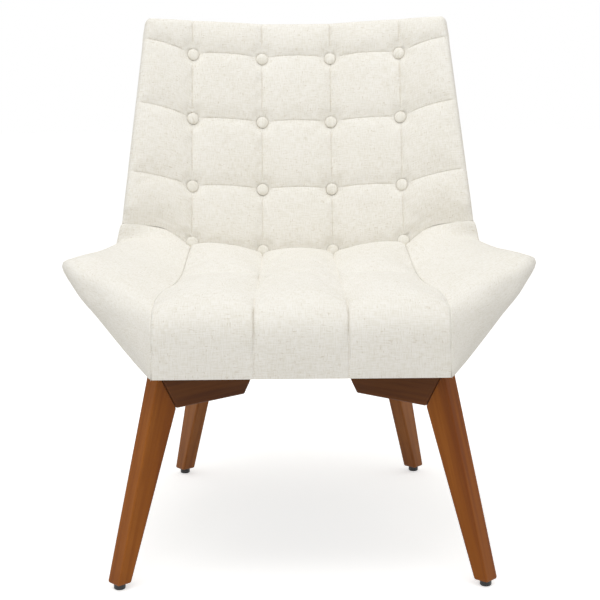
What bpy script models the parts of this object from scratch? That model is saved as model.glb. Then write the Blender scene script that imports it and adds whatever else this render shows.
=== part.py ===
"""Button-tufted lounge chair on four splayed wooden legs.

Metres, +Z up. The floor is Z = 0, the chair faces -Y and is the same on both sides of X = 0.
The back is a reclined panel that curves round the sitter. Its surfaces are places (x, s, d):
x across, s up the recline from the lowest button row, d out of the panel towards the sitter.
"""

import math

import bmesh
import bpy
from mathutils import Matrix, Vector

# Clearances
GAP = 0.0003
CURVE_GAP = 0.0006
TOLERANCE = 0.000001

# Back
RECLINE = math.radians(21.1)
BACK_CURVE_RADIUS = 0.604
BACK_FOOT_Y = 0.155
BACK_FOOT_Z = 0.415
BACK_HEIGHT = 0.410
BACK_LOW_HALF = 0.3015
BACK_TOP_HALF = 0.2645
BACK_CORNER_RADIUS = 0.015
BACK_FOAM = 0.026
BACK_DEPTH_LOW = 0.080
BACK_DEPTH_TOP = 0.060
BACK_REAR_TAPER = 0.008
BACK_FLARE_HEIGHT = 0.060
REAR_CORNER_X = 0.184
TOP_FOAM = 0.008

# Tufting
OUTER_COLUMN = 0.1825
BUTTON_ROW_SHARES = (0.0, 0.268, 0.568, 0.856)
BUTTON_COLUMN_SHARES = (-1.0, -1 / 3, 1 / 3, 1.0)
ROW_FOUR_OUTER_LIFT = 0.010
BACK_HEM = 0.0128
PLEAT_RISE_TOP = 0.015
PLEAT_RISE_UPPER = 0.012
PLEAT_RISE_LOWER = 0.006
PLEAT_RISE_FOOT = 0.033
HEM_RISE = 0.037
PILLOW_HEIGHT = 0.010
SEAM_HEIGHT = 0.0045
POCKET_DEPTH = 0.004
POCKET_HALF = 0.0115
PLEAT_REACH = 0.025
EDGE_ROUND = 0.016
EDGE_DROP = 0.012
HEM_DROP = 0.004
HEM_LEDGE_REACH = 0.050

# Buttons
BUTTON_DIAMETER = 0.0205
BUTTON_HEIGHT = 0.0078
BUTTON_RIM_HEIGHT = 0.0032
BUTTON_BACK_DIAMETER = 0.012

# Seat
SEAT_FRONT_Y = -0.380
SEAT_TOP_Z = 0.4065
FRAME_BOTTOM_Z = 0.3075
SEAT_CHANNEL_FRONT = 0.2085
SEAT_CHANNEL_INNER_FRONT = 0.0660
SEAT_CROWN = 0.0095
SEAT_SIDE_TAPER = 0.022
FRONT_FOAM = 0.0227

# Wings
WING_TIP_FLARE = 0.0605
WING_TIP_Y = -0.116
WING_TIP_Z = 0.4235
WING_REAR_FLARE = 0.0090
WING_REAR_Y = 0.0885
WING_REAR_Z = 0.4310
WING_FRONT_X = 0.2130
WING_FRONT_Y = -0.3760
WING_BULGE = 0.010
WING_NOSE = 0.0125
WING_NOSE_REACH = 0.020
WING_LIP = 0.008
WING_TOE_X = 0.003
WING_TOE_Y = 0.006

# Outside covers
COVER = 0.0025
KEEL_TIP_X = 0.2065
KEEL_TIP_Y = -0.130
KEEL_REAR_X = 0.1985
KEEL_REAR_Y = 0.112
KEEL_FRONT_X = 0.2115
KEEL_FRONT_Y = -0.3745
DUST_COVER = 0.0012

# Wooden frame inside the upholstery
BASE_PANEL = 0.015
BASE_INSET = 0.026
BASE_CORNER_CUT = 0.022
BASE_REAR_INSET = 0.006
DUST_COVER_INSET = 0.003
RAIL_THICK = 0.022
RAIL_HEIGHT = 0.038
RAIL_END_INSET = 0.0415
SIDE_BOARD = 0.009
BACK_PANEL = 0.005
BACK_PANEL_INSET = 0.008
POST_WIDTH = 0.036
POST_FOOT_INSET = 0.024
POST_TOP_INSET = 0.0245
TOP_RAIL_HEIGHT = 0.045

# Leg frames
FRONT_FOOT_X = 0.262
FRONT_FOOT_Y = -0.364
REAR_FOOT_X = 0.2085
REAR_FOOT_Y = 0.218
FRONT_LEG_TURN = math.radians(42.0)
REAR_LEG_TURN = math.radians(50.0)
LEG_THICK = 0.026
LEG_FOOT_WIDTH = 0.0232
LEG_OUTER_LEAN = 0.271
LEG_INNER_LEAN = 0.364
LEG_HEEL = 0.0116
LEG_EDGE = 0.0028
BRACKET_DEPTH = 0.0557
BRACKET_REACH = 0.2600
BRACKET_NOSE = 0.2280
BRACKET_NOSE_CUT = 0.0150
BRACKET_NOSE_SLOPE = 0.0100

# Glides
GLIDE_DIAMETER = 0.0170
GLIDE_FOOT_DIAMETER = 0.0145
GLIDE_HEIGHT = 0.0080
GLIDE_EDGE = 0.0015
GLIDE_PIN_DIAMETER = 0.0070
GLIDE_PIN_LENGTH = 0.0100

# Bolts and tee nuts
BOLT_DIAMETER = 0.0060
BOLT_HEAD_DIAMETER = 0.0110
BOLT_HEAD_HEIGHT = 0.0060
BOLT_RECESS = 0.0100
BOLT_SOCKET_DIAMETER = 0.0050
BOLT_SOCKET_DEPTH = 0.0030
BOLT_HOLE_DIAMETER = 0.0068
BOLT_RECESS_DIAMETER = 0.0130
BOLT_OUTER_PLACE = 0.125
BOLT_INNER_PLACE = 0.212
NUT_BARREL_DIAMETER = 0.0090
NUT_FLANGE_DIAMETER = 0.0190
NUT_FLANGE = 0.0014
NUT_LENGTH = 0.0110

# Moves the middle of the chair's depth to Y = 0.
DEPTH_SHIFT = 0.0126

# Faceting
ROUND_STEPS = 16
FINE_STEPS = 12
BUTTON_DOME_STEPS = 4
OUTER_BACK_COLUMNS = 18
BASE_REAR_STEPS = 8
BACK_PANEL_COLUMNS = 12

# Where the seat's stations lie from the front hem (0) to the crease under the back (1), how high
# the channel is there, and how far the pillows between the channels are raised.
SEAT_DEPTH_SHARES = (0.004, 0.0, 0.004, 0.018, 0.052, 0.108, 0.20, 0.31, 0.42, 0.54, 0.67, 0.80, 0.90, 0.965)
SEAT_RISE_SHARES = (0.0, 0.28, 0.56, 0.77, 0.93, 0.99, 1.00, 1.01, 1.015, 1.02, 1.03, 1.05, 1.06, 1.03)
SEAT_CROWN_SHARES = (0.0, 0.35, 0.60, 0.85, 1.0, 1.0, 1.0, 1.0, 1.0, 1.0, 1.0, 1.1, 1.1, 0.9)
# How much of the way from its rear place to its front place the outer channel has moved, and the
# inner channels likewise.
OUTER_CHANNEL_SHARES = (1.0, 1.0, 1.0, 1.0, 1.0, 1.0, 0.95, 0.80, 0.35, 0.15, 0.08, 0.03, 0.0, 0.0)
INNER_CHANNEL_SHARES = (1.0, 1.0, 1.0, 1.0, 1.0, 0.95, 0.85, 0.70, 0.50, 0.35, 0.20, 0.10, 0.0, 0.0)
SEAT_SCOOP_SHARE = 0.55
BAY_SHARES = (0.0, 0.09, 0.27, 0.5, 0.73, 0.91, 1.0)
# How far along the diagonal from the front corner to the wing tip, then along the upper edge to
# the rear, each seat station ends at the rim.
RIM_DIAGONAL_SHARES = (0.0, 0.07, 0.28, 0.54, 0.80, 1.0)
RIM_UPPER_SHARES = (0.10, 0.22, 0.36, 0.52, 0.68, 0.83, 0.94, 1.0)
WING_ACROSS_SHARES = (0.0, 0.12, 0.32, 0.66)
FLOOR_SHARES = (0.0, 0.25, 0.5, 0.75, 0.9)
# Columns of the back panel's hidden face near its side edges, from the edge inwards.
END_SHARES = (0.0, 0.3, 0.65)
# Rows of the outside back and the side covers, up to the crease and from there to the top.
FAN_REAR_SHARES = (0.2, 0.4, 0.6, 0.8, 1.0)
SIDE_HEIGHT_SHARES = (0.12, 0.3, 0.5, 0.7, 0.85, 1.0)
TIP_STATION = 5
BOARD_STATIONS = range(2, 14)
NOSE_SHARE = 0.293
# A pillow's highest place, halfway between two pleats, and a column on the rolled edge.
CREST_SHARE = 0.5
ROLL_SHARE = 0.6
KEEL_CORNER_SHARES = (0.5, 1.0)
LAST_TURN_SHARE = 0.93
# Lines of the side cover at the inner corner between wing and back, where its upper edge is thin.
CORNER_LINES = range(12, 20)
CORNER_THIN_SHARE = 0.4

CHAIR_MIDDLE = Vector((0, 0, SEAT_TOP_Z))
BACK_COLUMNS = tuple(OUTER_COLUMN * share for share in BUTTON_COLUMN_SHARES)
BACK_ROWS = tuple(BACK_HEIGHT * share for share in BUTTON_ROW_SHARES)
ROW_FOUR, ROW_THREE, ROW_TWO, ROW_ONE = BACK_ROWS
INNER_COLUMN = BACK_COLUMNS[-2]
BUTTON_SPACING = OUTER_COLUMN - INNER_COLUMN
FLOOR_Z = FRAME_BOTTOM_Z + BASE_PANEL + GAP
DUST_COVER_TOP_Z = FRAME_BOTTOM_Z - GAP
BRACKET_TOP_Z = DUST_COVER_TOP_Z - DUST_COVER - GAP
LEG_BOTTOM_Z = GLIDE_HEIGHT + GAP
SIDES = (("left", -1), ("right", 1))


def clamp(value):
    return max(0.0, min(1.0, value))


def blend(a, b, share):
    return a + (b - a) * share


def spread(low, high, steps):
    return [blend(low, high, place / steps) for place in range(steps + 1)]


def halfway(a, b):
    return (a + b) / 2


def smooth(share):
    share = clamp(share)
    return share * share * (3 - 2 * share)


# Materials

def finish(name, colour, roughness, metallic=0.0):
    material = bpy.data.materials.get(name) or bpy.data.materials.new(name)
    material.use_nodes = True
    shader = material.node_tree.nodes["Principled BSDF"]
    shader.inputs["Base Color"].default_value = (*colour, 1.0)
    shader.inputs["Roughness"].default_value = roughness
    shader.inputs["Metallic"].default_value = metallic
    material.diffuse_color = (*colour, 1.0)
    return material


def linen():
    return finish("cream_linen", (0.84, 0.81, 0.72), 0.9)


def button_linen():
    return finish("button_linen", (0.82, 0.79, 0.69), 0.85)


def stained_wood():
    return finish("amber_stained_wood", (0.26, 0.085, 0.025), 0.38)


def bare_plywood():
    return finish("bare_plywood", (0.62, 0.46, 0.28), 0.7)


def bare_timber():
    return finish("bare_timber", (0.68, 0.53, 0.34), 0.75)


def dust_cloth():
    return finish("black_dust_cloth", (0.02, 0.02, 0.022), 0.95)


def black_nylon():
    return finish("black_nylon", (0.015, 0.015, 0.016), 0.5)


def zinc_steel():
    return finish("zinc_steel", (0.60, 0.60, 0.58), 0.35, 1.0)


# Scene helpers

def clear_scene():
    for thing in list(bpy.data.objects):
        bpy.data.objects.remove(thing, do_unlink=True)


def new_collection(name):
    collection = bpy.data.collections.new(name)
    bpy.context.scene.collection.children.link(collection)
    return collection


clear_scene()
PARTS = new_collection("tufted_chair")
CUTTERS = new_collection("cutters")
CUTTERS.hide_render = True


def add_part(name, mesh, material):
    mesh.materials.append(material)
    thing = bpy.data.objects.new(name, mesh)
    PARTS.objects.link(thing)
    return thing


def add_face(bm, a, b, c, d):
    """A four-sided face whose fold runs the same way on the left and on the right of the chair."""
    if abs(a.co.x) > abs(b.co.x) + TOLERANCE:
        a, b, c, d = b, a, d, c
    return bm.faces.new((a, b, c, d))


def slab(name, material, upper, lower):
    """A closed solid between two grids of points, row for row and column for column. Faces of the
    hidden lower grid that lie in one plane are joined."""
    bm = bmesh.new()
    rows = len(upper)
    columns = len(upper[0])
    top = [[bm.verts.new(point) for point in row] for row in upper]
    under = [[bm.verts.new(point) for point in row] for row in lower]
    hidden = set()
    for i in range(rows - 1):
        for j in range(columns - 1):
            add_face(bm, top[i][j], top[i][j + 1], top[i + 1][j + 1], top[i + 1][j])
            face = add_face(bm, under[i][j], under[i][j + 1], under[i + 1][j + 1], under[i + 1][j])
            hidden.add(face)
    for i in range(rows - 1):
        for j in (0, columns - 1):
            add_face(bm, top[i][j], top[i + 1][j], under[i + 1][j], under[i][j])
    for j in range(columns - 1):
        for i in (0, rows - 1):
            add_face(bm, top[i][j], top[i][j + 1], under[i][j + 1], under[i][j])
    bmesh.ops.recalc_face_normals(bm, faces=bm.faces)
    edges = [edge for edge in bm.edges if hidden.issuperset(edge.link_faces)]
    verts = [vert for row in under[1:-1] for vert in row[1:-1]]
    bmesh.ops.dissolve_limit(bm, angle_limit=math.radians(0.3), verts=verts, edges=edges)
    mesh = bpy.data.meshes.new(name)
    bm.to_mesh(mesh)
    bm.free()
    mesh.shade_smooth()
    mesh.set_sharp_from_angle(angle=math.radians(40))
    return add_part(name, mesh, material)


def mirrored(points, side):
    return [[Vector((point.x * side, point.y, point.z)) for point in row] for row in points]


def turned(name, material, profile, steps=ROUND_STEPS, bored=False):
    """A turned solid. The profile is (radius, height), from the top down its outer side."""
    mesh = bpy.data.meshes.new(name)
    edges = [(i, i + 1) for i in range(len(profile) - 1)]
    if bored:
        edges.append((len(profile) - 1, 0))
    mesh.from_pydata([(radius, 0, height) for radius, height in profile], edges, [])
    mesh.materials.append(material)
    thing = bpy.data.objects.new(name, mesh)
    screw = thing.modifiers.new("turn", "SCREW")
    screw.angle = math.tau
    screw.steps = steps
    screw.render_steps = steps
    screw.use_merge_vertices = True
    screw.merge_threshold = 0.00001
    return thing


def add_turned(name, material, profile, place, steps=ROUND_STEPS, bored=False):
    thing = turned(name, material, profile, steps, bored)
    PARTS.objects.link(thing)
    thing.location = place
    return thing


def add_cutter(name, profile, place, steps=FINE_STEPS):
    cutter = turned(name, black_nylon(), profile, steps)
    CUTTERS.objects.link(cutter)
    cutter.location = place
    cutter.hide_render = True
    cutter.display_type = "WIRE"
    return cutter


def cut(thing, cutter):
    modifier = thing.modifiers.new("cut_" + cutter.name, "BOOLEAN")
    modifier.operation = "DIFFERENCE"
    modifier.solver = "EXACT"
    modifier.object = cutter


def rod(diameter, bottom, top):
    return [(0, top), (diameter / 2, top), (diameter / 2, bottom), (0, bottom)]


def stepped(upper_radius, top, step, lower_radius, bottom):
    """A bore of two diameters that meet at the height of the step."""
    return [(0, top), (upper_radius, top), (upper_radius, step), (lower_radius, step), (lower_radius, bottom),
            (0, bottom)]


def flat_plate(name, material, outline, thickness):
    """A flat outline given thickness along its own Z, half to each side, as a welded mesh."""
    curve = bpy.data.curves.new(name, "CURVE")
    curve.dimensions = "2D"
    curve.fill_mode = "BOTH"
    curve.extrude = thickness / 2
    line = curve.splines.new("POLY")
    line.points.add(len(outline) - 1)
    line.use_cyclic_u = True
    for point, (x, y) in zip(line.points, outline):
        point.co = (x, y, 0, 1)
    drawn = bpy.data.objects.new(name + "_outline", curve)
    PARTS.objects.link(drawn)
    bpy.context.view_layer.update()
    graph = bpy.context.evaluated_depsgraph_get()
    mesh = bpy.data.meshes.new_from_object(drawn.evaluated_get(graph))
    bpy.data.objects.remove(drawn, do_unlink=True)
    bm = bmesh.new()
    bm.from_mesh(mesh)
    bmesh.ops.remove_doubles(bm, verts=bm.verts, dist=0.00001)
    bmesh.ops.recalc_face_normals(bm, faces=bm.faces)
    bm.to_mesh(mesh)
    bm.free()
    mesh.name = name
    mesh.materials.clear()
    return add_part(name, mesh, material)


def round_edges(thing, width, segments=2):
    bevel = thing.modifiers.new("rounded_edges", "BEVEL")
    bevel.width = width
    bevel.segments = segments
    bevel.limit_method = "ANGLE"
    bevel.angle_limit = math.radians(25)


# The back's surfaces

CORNER_S = BACK_HEIGHT - BACK_CORNER_RADIUS
CORNER_TURNS = [math.radians(angle) for angle in (0, 30, 60, 90)]


def sag(x):
    return BACK_CURVE_RADIUS - math.sqrt(BACK_CURVE_RADIUS ** 2 - x * x)


def back_point(x, s, d=0.0):
    out = sag(x) + d
    y = BACK_FOOT_Y + s * math.sin(RECLINE) - out * math.cos(RECLINE)
    z = BACK_FOOT_Z + s * math.cos(RECLINE) + out * math.sin(RECLINE)
    return Vector((x, y, z))


def height_at_level(x, z, d):
    """How far up the recline the surface at the depth d reaches the level z."""
    return (z - BACK_FOOT_Z - (sag(x) + d) * math.sin(RECLINE)) / math.cos(RECLINE)


def half_width(s):
    return blend(BACK_LOW_HALF, BACK_TOP_HALF, s / BACK_HEIGHT)


def back_depth(s):
    return blend(BACK_DEPTH_LOW, BACK_DEPTH_TOP, s / BACK_HEIGHT)


def outside_foot(x):
    """Where the outside back meets the bottom of the frame, as a height up the recline."""
    s = 0.0
    for _ in range(20):
        s = height_at_level(x, FRAME_BOTTOM_Z, -back_depth(s))
    return s


REAR_CORNER_S = outside_foot(REAR_CORNER_X)


def rear_half_width(s):
    flare = clamp((BACK_FLARE_HEIGHT - s) / (BACK_FLARE_HEIGHT - REAR_CORNER_S))
    return blend(half_width(s) - BACK_REAR_TAPER, REAR_CORNER_X, flare ** 2)


def side_half_width(s, d):
    """The half width of the back at the depth d, between its front rim and its rear edge."""
    share = clamp((-d - EDGE_DROP) / (back_depth(s) - EDGE_DROP))
    return blend(half_width(s), rear_half_width(s), share)


def pleat_rise(s):
    """How much higher a pleat meets the side edge than its button, at the height s."""
    steps = (
        (-BACK_HEM, HEM_RISE),
        (ROW_FOUR, PLEAT_RISE_FOOT),
        (ROW_THREE, PLEAT_RISE_LOWER),
        (ROW_TWO, PLEAT_RISE_UPPER),
        (ROW_ONE, PLEAT_RISE_TOP),
        (CORNER_S, 0.0),
    )
    for (low, low_rise), (high, high_rise) in zip(steps, steps[1:]):
        if s < high:
            return blend(low_rise, high_rise, clamp((s - low) / (high - low)))
    return 0.0


def outer_lift(x, s):
    """The outer buttons of the lowest row sit higher than the inner ones."""
    side = smooth((abs(x) - INNER_COLUMN) / (OUTER_COLUMN - INNER_COLUMN))
    return ROW_FOUR_OUTER_LIFT * side * clamp((ROW_THREE - s) / ROW_THREE)


def raised(x, s, edge):
    """The true height of the line s at x, where edge is the half width of the panel."""
    reach = clamp((abs(x) - OUTER_COLUMN) / (edge - OUTER_COLUMN))
    return s + outer_lift(x, s) + pleat_rise(s) * reach ** 1.5


def rim_height(s):
    """The true height at which the line s meets the side edge."""
    return raised(BACK_LOW_HALF, s, BACK_LOW_HALF)


HEM_EDGE_S = rim_height(-BACK_HEM)
HEM_HALF = half_width(HEM_EDGE_S)


def hem_height(x):
    return raised(x, -BACK_HEM, HEM_HALF)


def hump(share):
    return 4 * clamp(share) * (1 - clamp(share))


def column_hump(x):
    place = abs(x)
    if place >= OUTER_COLUMN:
        return hump(min(CREST_SHARE, (place - OUTER_COLUMN) / BUTTON_SPACING))
    return hump(math.fmod(place / BUTTON_SPACING + CREST_SHARE, 1.0))


def row_hump(s):
    if s >= ROW_ONE:
        return hump(min(CREST_SHARE, (s - ROW_ONE) / BUTTON_SPACING))
    for low, high in zip(BACK_ROWS, BACK_ROWS[1:]):
        if low <= s < high:
            return hump((s - low) / (high - low))
    return 0.0


def in_pocket(x, s):
    reach = POCKET_HALF + TOLERANCE
    beside = min(abs(x - column) for column in BACK_COLUMNS)
    above = min(abs(s - row) for row in BACK_ROWS)
    return beside < reach and above < reach


def pillow(x, s):
    """The tufted surface's height over the plane of the buttons."""
    if in_pocket(x, s):
        return -POCKET_DEPTH
    across = column_hump(x)
    along = row_hump(s)
    seam = SEAM_HEIGHT * (across + along - across * along)
    full = seam + (PILLOW_HEIGHT - SEAM_HEIGHT) * math.sqrt(across * along)
    return blend(-HEM_DROP, full, clamp((s + BACK_HEM) / PLEAT_REACH))


def edge_drop(distance):
    """0 away from the edge and 1 on it, along a quarter of an ellipse."""
    share = clamp(1 - distance / EDGE_ROUND)
    return 1 - math.sqrt(1 - share * share)


def outer_columns(edge):
    """Places across the panel from the outer button column to the side edge."""
    pleat = OUTER_COLUMN + PLEAT_REACH
    roll = edge - EDGE_ROUND
    return [OUTER_COLUMN, OUTER_COLUMN + POCKET_HALF, pleat, halfway(pleat, roll), roll,
            blend(roll, edge, ROLL_SHARE), edge]


def back_columns(edge):
    """Places across the whole panel, left to right."""
    right = [0.0, INNER_COLUMN - PLEAT_REACH]
    right += [INNER_COLUMN + step for step in (-POCKET_HALF, 0.0, POCKET_HALF, PLEAT_REACH)]
    right += [BUTTON_SPACING, OUTER_COLUMN - PLEAT_REACH, OUTER_COLUMN - POCKET_HALF]
    right += outer_columns(edge)
    return [-x for x in reversed(right[1:])] + right


def back_lines():
    """(height, half width) of the panel's grid lines, from the hem up and round the top corner."""
    lines = [-BACK_HEM]
    for row, above in zip(BACK_ROWS, BACK_ROWS[1:] + (None,)):
        if row != ROW_FOUR:
            lines.append(row - PLEAT_REACH)
        lines += [row - POCKET_HALF, row, row + POCKET_HALF, row + PLEAT_REACH]
        if above is not None:
            lines.append(halfway(row, above))
    corner = [top_corner(turn, half_width(CORNER_S)) for turn in CORNER_TURNS]
    return [(s, half_width(rim_height(s))) for s in lines] + corner


def top_corner(turn, edge, inset=0.0):
    """(height, half width) on the rounded top corner, turned up from the side edge."""
    radius = BACK_CORNER_RADIUS - inset
    s = CORNER_S + radius * math.sin(turn)
    return s, edge - BACK_CORNER_RADIUS + radius * math.cos(turn)


# Upholstery

LEDGE = COVER + 2 * GAP


def ledge_point(x, s, edge):
    """On the step under the rim, square to the chair's side."""
    return back_point(x, s, sag(edge) - sag(x) - EDGE_DROP)


def end_columns(end, edge):
    """Places on a hidden face near a side edge, from its own end inwards."""
    return [blend(end, edge - EDGE_ROUND, share) for share in END_SHARES]


def add_back_pad():
    """Foam and cover of the inside back: sewn pillows, sixteen button pockets, a rolled rim and a
    tongue that turns back over the top rail."""
    upper = []
    lower = []
    lines = back_lines()
    turns = [0.0] * (len(lines) - len(CORNER_TURNS)) + CORNER_TURNS
    for (s, edge), turn in zip(lines, turns):
        places = back_columns(edge)
        front = []
        for x in places:
            rim = edge_drop(min(edge - abs(x), BACK_HEIGHT - s))
            front.append(back_point(x, raised(x, s, edge), blend(pillow(x, s), -EDGE_DROP, rim)))
        rim_s = rim_height(s)
        near_hem = clamp(1 - (rim_s - HEM_EDGE_S) / HEM_LEDGE_REACH)
        ledge_x = edge - LEDGE * (math.cos(turn) + near_hem)
        ledge = [ledge_point(x, rim_s - LEDGE * math.sin(turn), edge) for x in (-ledge_x, ledge_x)]
        upper.append([ledge[0], *front, ledge[1]])
        drop = TOP_FOAM * clamp((s - ROW_ONE) / (BACK_HEIGHT - ROW_ONE))
        ends = end_columns(side_half_width(rim_s, -BACK_FOAM) - half_width(rim_s) + ledge_x, edge)
        middle = places[2:-2]
        under = [-x for x in ends] + middle + ends[::-1]
        lower.append([back_point(x, raised(x, s, edge) - drop, -BACK_FOAM) for x in under])
    rear_d = GAP - back_depth(BACK_HEIGHT)
    rear = top_corner(CORNER_TURNS[-1], rear_half_width(CORNER_S))[1] - GAP
    scale = rear / lines[-1][1]
    tongue = [x * scale for x in back_columns(lines[-1][1])]
    ledge = [back_point(x, BACK_HEIGHT - TOP_FOAM / 2, rear_d) for x in (-rear, rear)]
    upper.append([ledge[0], *(back_point(x, BACK_HEIGHT, rear_d) for x in tongue), ledge[1]])
    ends = end_columns(rear, rear)
    under = [-x for x in ends] + tongue[2:-2] + ends[::-1]
    lower.append([back_point(x, BACK_HEIGHT - TOP_FOAM, rear_d) for x in under])
    return slab("back_pad", linen(), upper, lower)


# The seat's stations run from the front hem to the rear, then into the crease and behind it.

CREASE = len(SEAT_DEPTH_SHARES)
TUCK = CREASE + 1
STATIONS = range(TUCK + 1)
FRONT_BOARD_Y = SEAT_FRONT_Y + FRONT_FOAM


def crease_point(x, d=-HEM_DROP):
    return back_point(x, hem_height(x) - GAP, d)


def seat_point(i, x):
    """The channel surface of the seat and the wings at a station."""
    if i >= CREASE:
        return crease_point(x, -HEM_DROP if i == CREASE else -BACK_FOAM)
    share = SEAT_DEPTH_SHARES[i]
    crease = crease_point(x)
    lift = (crease.z - crease_point(0).z) * smooth((share - SEAT_SCOOP_SHARE) / (1 - SEAT_SCOOP_SHARE))
    y = blend(SEAT_FRONT_Y, crease.y, share)
    return Vector((x, y, blend(FRAME_BOTTOM_Z, SEAT_TOP_Z, SEAT_RISE_SHARES[i]) + lift))


def channels(i):
    """Half the distance between the outer channels and between the inner ones."""
    if i >= CREASE:
        return OUTER_COLUMN, INNER_COLUMN
    outer = blend(OUTER_COLUMN, SEAT_CHANNEL_FRONT, OUTER_CHANNEL_SHARES[i])
    return outer, blend(INNER_COLUMN, SEAT_CHANNEL_INNER_FRONT, INNER_CHANNEL_SHARES[i])


def seat_wall_foot(i):
    """The bottom of the joint between the seat and a wing, on the right."""
    x = channels(i)[0] - SEAT_SIDE_TAPER
    if i == 0:
        return Vector((x, FRONT_BOARD_Y, FRAME_BOTTOM_Z))
    if i < TIP_STATION:
        rear = seat_point(TIP_STATION, x).y
        return Vector((x, blend(FRONT_BOARD_Y, rear, (i - 1) / (TIP_STATION - 1)), FLOOR_Z))
    if i < CREASE:
        return Vector((x, seat_point(i, channels(i)[0]).y, FLOOR_Z))
    rear = floor_at_back(x)
    return rear if i == TUCK else halfway(seat_wall_foot(CREASE - 1), rear)


def floor_at_back(x):
    """Where the back pad's rear plane meets the floor of the seat."""
    return back_point(x, height_at_level(x, FLOOR_Z, -BACK_FOAM), -BACK_FOAM)


def seat_under_point(i, x):
    """The seat's underside at a station, with the step round the front rail."""
    rail_back = FRONT_BOARD_Y + RAIL_THICK + 2 * GAP
    rail_top = FLOOR_Z + RAIL_HEIGHT + GAP
    steps = (
        (FRONT_BOARD_Y, FRAME_BOTTOM_Z),
        (FRONT_BOARD_Y, halfway(FRAME_BOTTOM_Z, rail_top)),
        (FRONT_BOARD_Y, rail_top),
        (rail_back, rail_top),
        (rail_back, FLOOR_Z),
    )
    if i < len(steps):
        return Vector((x, *steps[i]))
    if i < CREASE:
        return Vector((x, seat_point(i, x).y, FLOOR_Z))
    rear = floor_at_back(x)
    return rear if i == TUCK else halfway(seat_under_point(CREASE - 1, x), rear)


def add_seat_pad():
    """Foam and cover of the seat: three lengthwise pillows that roll over the front."""
    upper = []
    lower = []
    for i in STATIONS:
        outer, inner = channels(i)
        lines = (-outer, -inner, inner, outer)
        bays = [(lines[bay], lines[bay + 1], share) for bay in range(3) for share in BAY_SHARES[:-1]]
        bays.append((inner, outer, 1.0))
        places = [blend(low, high, share) for low, high, share in bays]
        if i >= CREASE:
            places = [x for x in back_columns(HEM_HALF) if abs(x) <= OUTER_COLUMN]
        crown = 0.0 if i >= CREASE else SEAT_CROWN * SEAT_CROWN_SHARES[i]
        row = []
        for x, (low, high, share) in zip(places, bays):
            rise = seat_point(min(i + 1, CREASE), x) - seat_point(max(i - 1, 0), x)
            normal = Vector((0, -rise.z, rise.y)).normalized()
            row.append(seat_point(i, x) + normal * crown * math.sqrt(hump(share)))
        upper.append(row)
        scale = (outer - SEAT_SIDE_TAPER) / outer
        under = [seat_under_point(i, x * scale) for x in places]
        foot = seat_wall_foot(i)
        under[0] = Vector((-foot.x, foot.y, foot.z))
        under[-1] = foot
        lower.append(under)
    return slab("seat_pad", linen(), upper, lower)


# Wings, right side; the left one is mirrored

RIM_FRONT = Vector((WING_FRONT_X, WING_FRONT_Y, FRAME_BOTTOM_Z))
RIM_TIP = Vector((BACK_LOW_HALF + WING_TIP_FLARE, WING_TIP_Y, WING_TIP_Z))
RIM_REAR = Vector((BACK_LOW_HALF + WING_REAR_FLARE, WING_REAR_Y, WING_REAR_Z))
RIM_CREASE = back_point(HEM_HALF, HEM_EDGE_S - GAP, -EDGE_DROP)
KEEL_FRONT = Vector((KEEL_FRONT_X, KEEL_FRONT_Y, FRAME_BOTTOM_Z))
KEEL_TIP = Vector((KEEL_TIP_X, KEEL_TIP_Y, FRAME_BOTTOM_Z))
KEEL_REAR = Vector((KEEL_REAR_X, KEEL_REAR_Y, FRAME_BOTTOM_Z))
RIM_SHARES = RIM_DIAGONAL_SHARES + RIM_UPPER_SHARES


def along(i, front, tip, rear):
    """The place of a station on a line that bends at the wing tip."""
    if i <= TIP_STATION:
        return front.lerp(tip, RIM_SHARES[i])
    return tip.lerp(rear, RIM_SHARES[i])


def rim(i):
    return RIM_CREASE if i >= CREASE else along(i, RIM_FRONT, RIM_TIP, RIM_REAR)


def keel(i):
    return KEEL_REAR if i >= CREASE else along(i, KEEL_FRONT, KEEL_TIP, KEEL_REAR)


def side_frame(i):
    """Down the outside of a wing at a station, and square to it into the wing."""
    down = (keel(i) - rim(i)).normalized()
    low, high = max(i - 1, 0), min(i + 1, CREASE - 1)
    onward = rim(high) - rim(low) + keel(high) - keel(low)
    inward = down.cross(onward).normalized()
    if inward.x > 0:
        inward = -inward
    if i == CREASE - 1:
        behind = (KEEL_REAR - RIM_REAR).cross(RIM_CREASE - RIM_REAR).normalized()
        if behind.x > 0:
            behind = -behind
        inward = (inward + behind) / (1 + inward.dot(behind))
    return down, inward


def wing_channel(i):
    point = seat_point(i, channels(i)[0])
    return point + Vector((GAP, 0, 0))


def wing_top(i):
    """Across the wing from its channel over the rolled nose to the rim and the ledge."""
    start, end = wing_channel(i), rim(i)
    inward = start - end
    reach = min(WING_NOSE_REACH, inward.length / 3)
    inward.normalize()
    onward = rim(min(i + 1, CREASE - 1)) - rim(max(i - 1, 0))
    normal = inward.cross(onward).normalized()
    if normal.dot(Vector((0, -1, 2))) < 0:
        normal = -normal
    height = WING_NOSE * reach / WING_NOSE_REACH
    nose = end + inward * reach + normal * height
    middle = halfway(start, nose) + normal * WING_BULGE * reach / WING_NOSE_REACH
    row = [start.lerp(middle, share).lerp(middle.lerp(nose, share), share) for share in WING_ACROSS_SHARES]
    round_nose = end + inward * reach * NOSE_SHARE + normal * height * (1 - NOSE_SHARE)
    ledge = end + side_frame(i)[1] * LEDGE
    return [*row, nose, round_nose, end, ledge]


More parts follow.
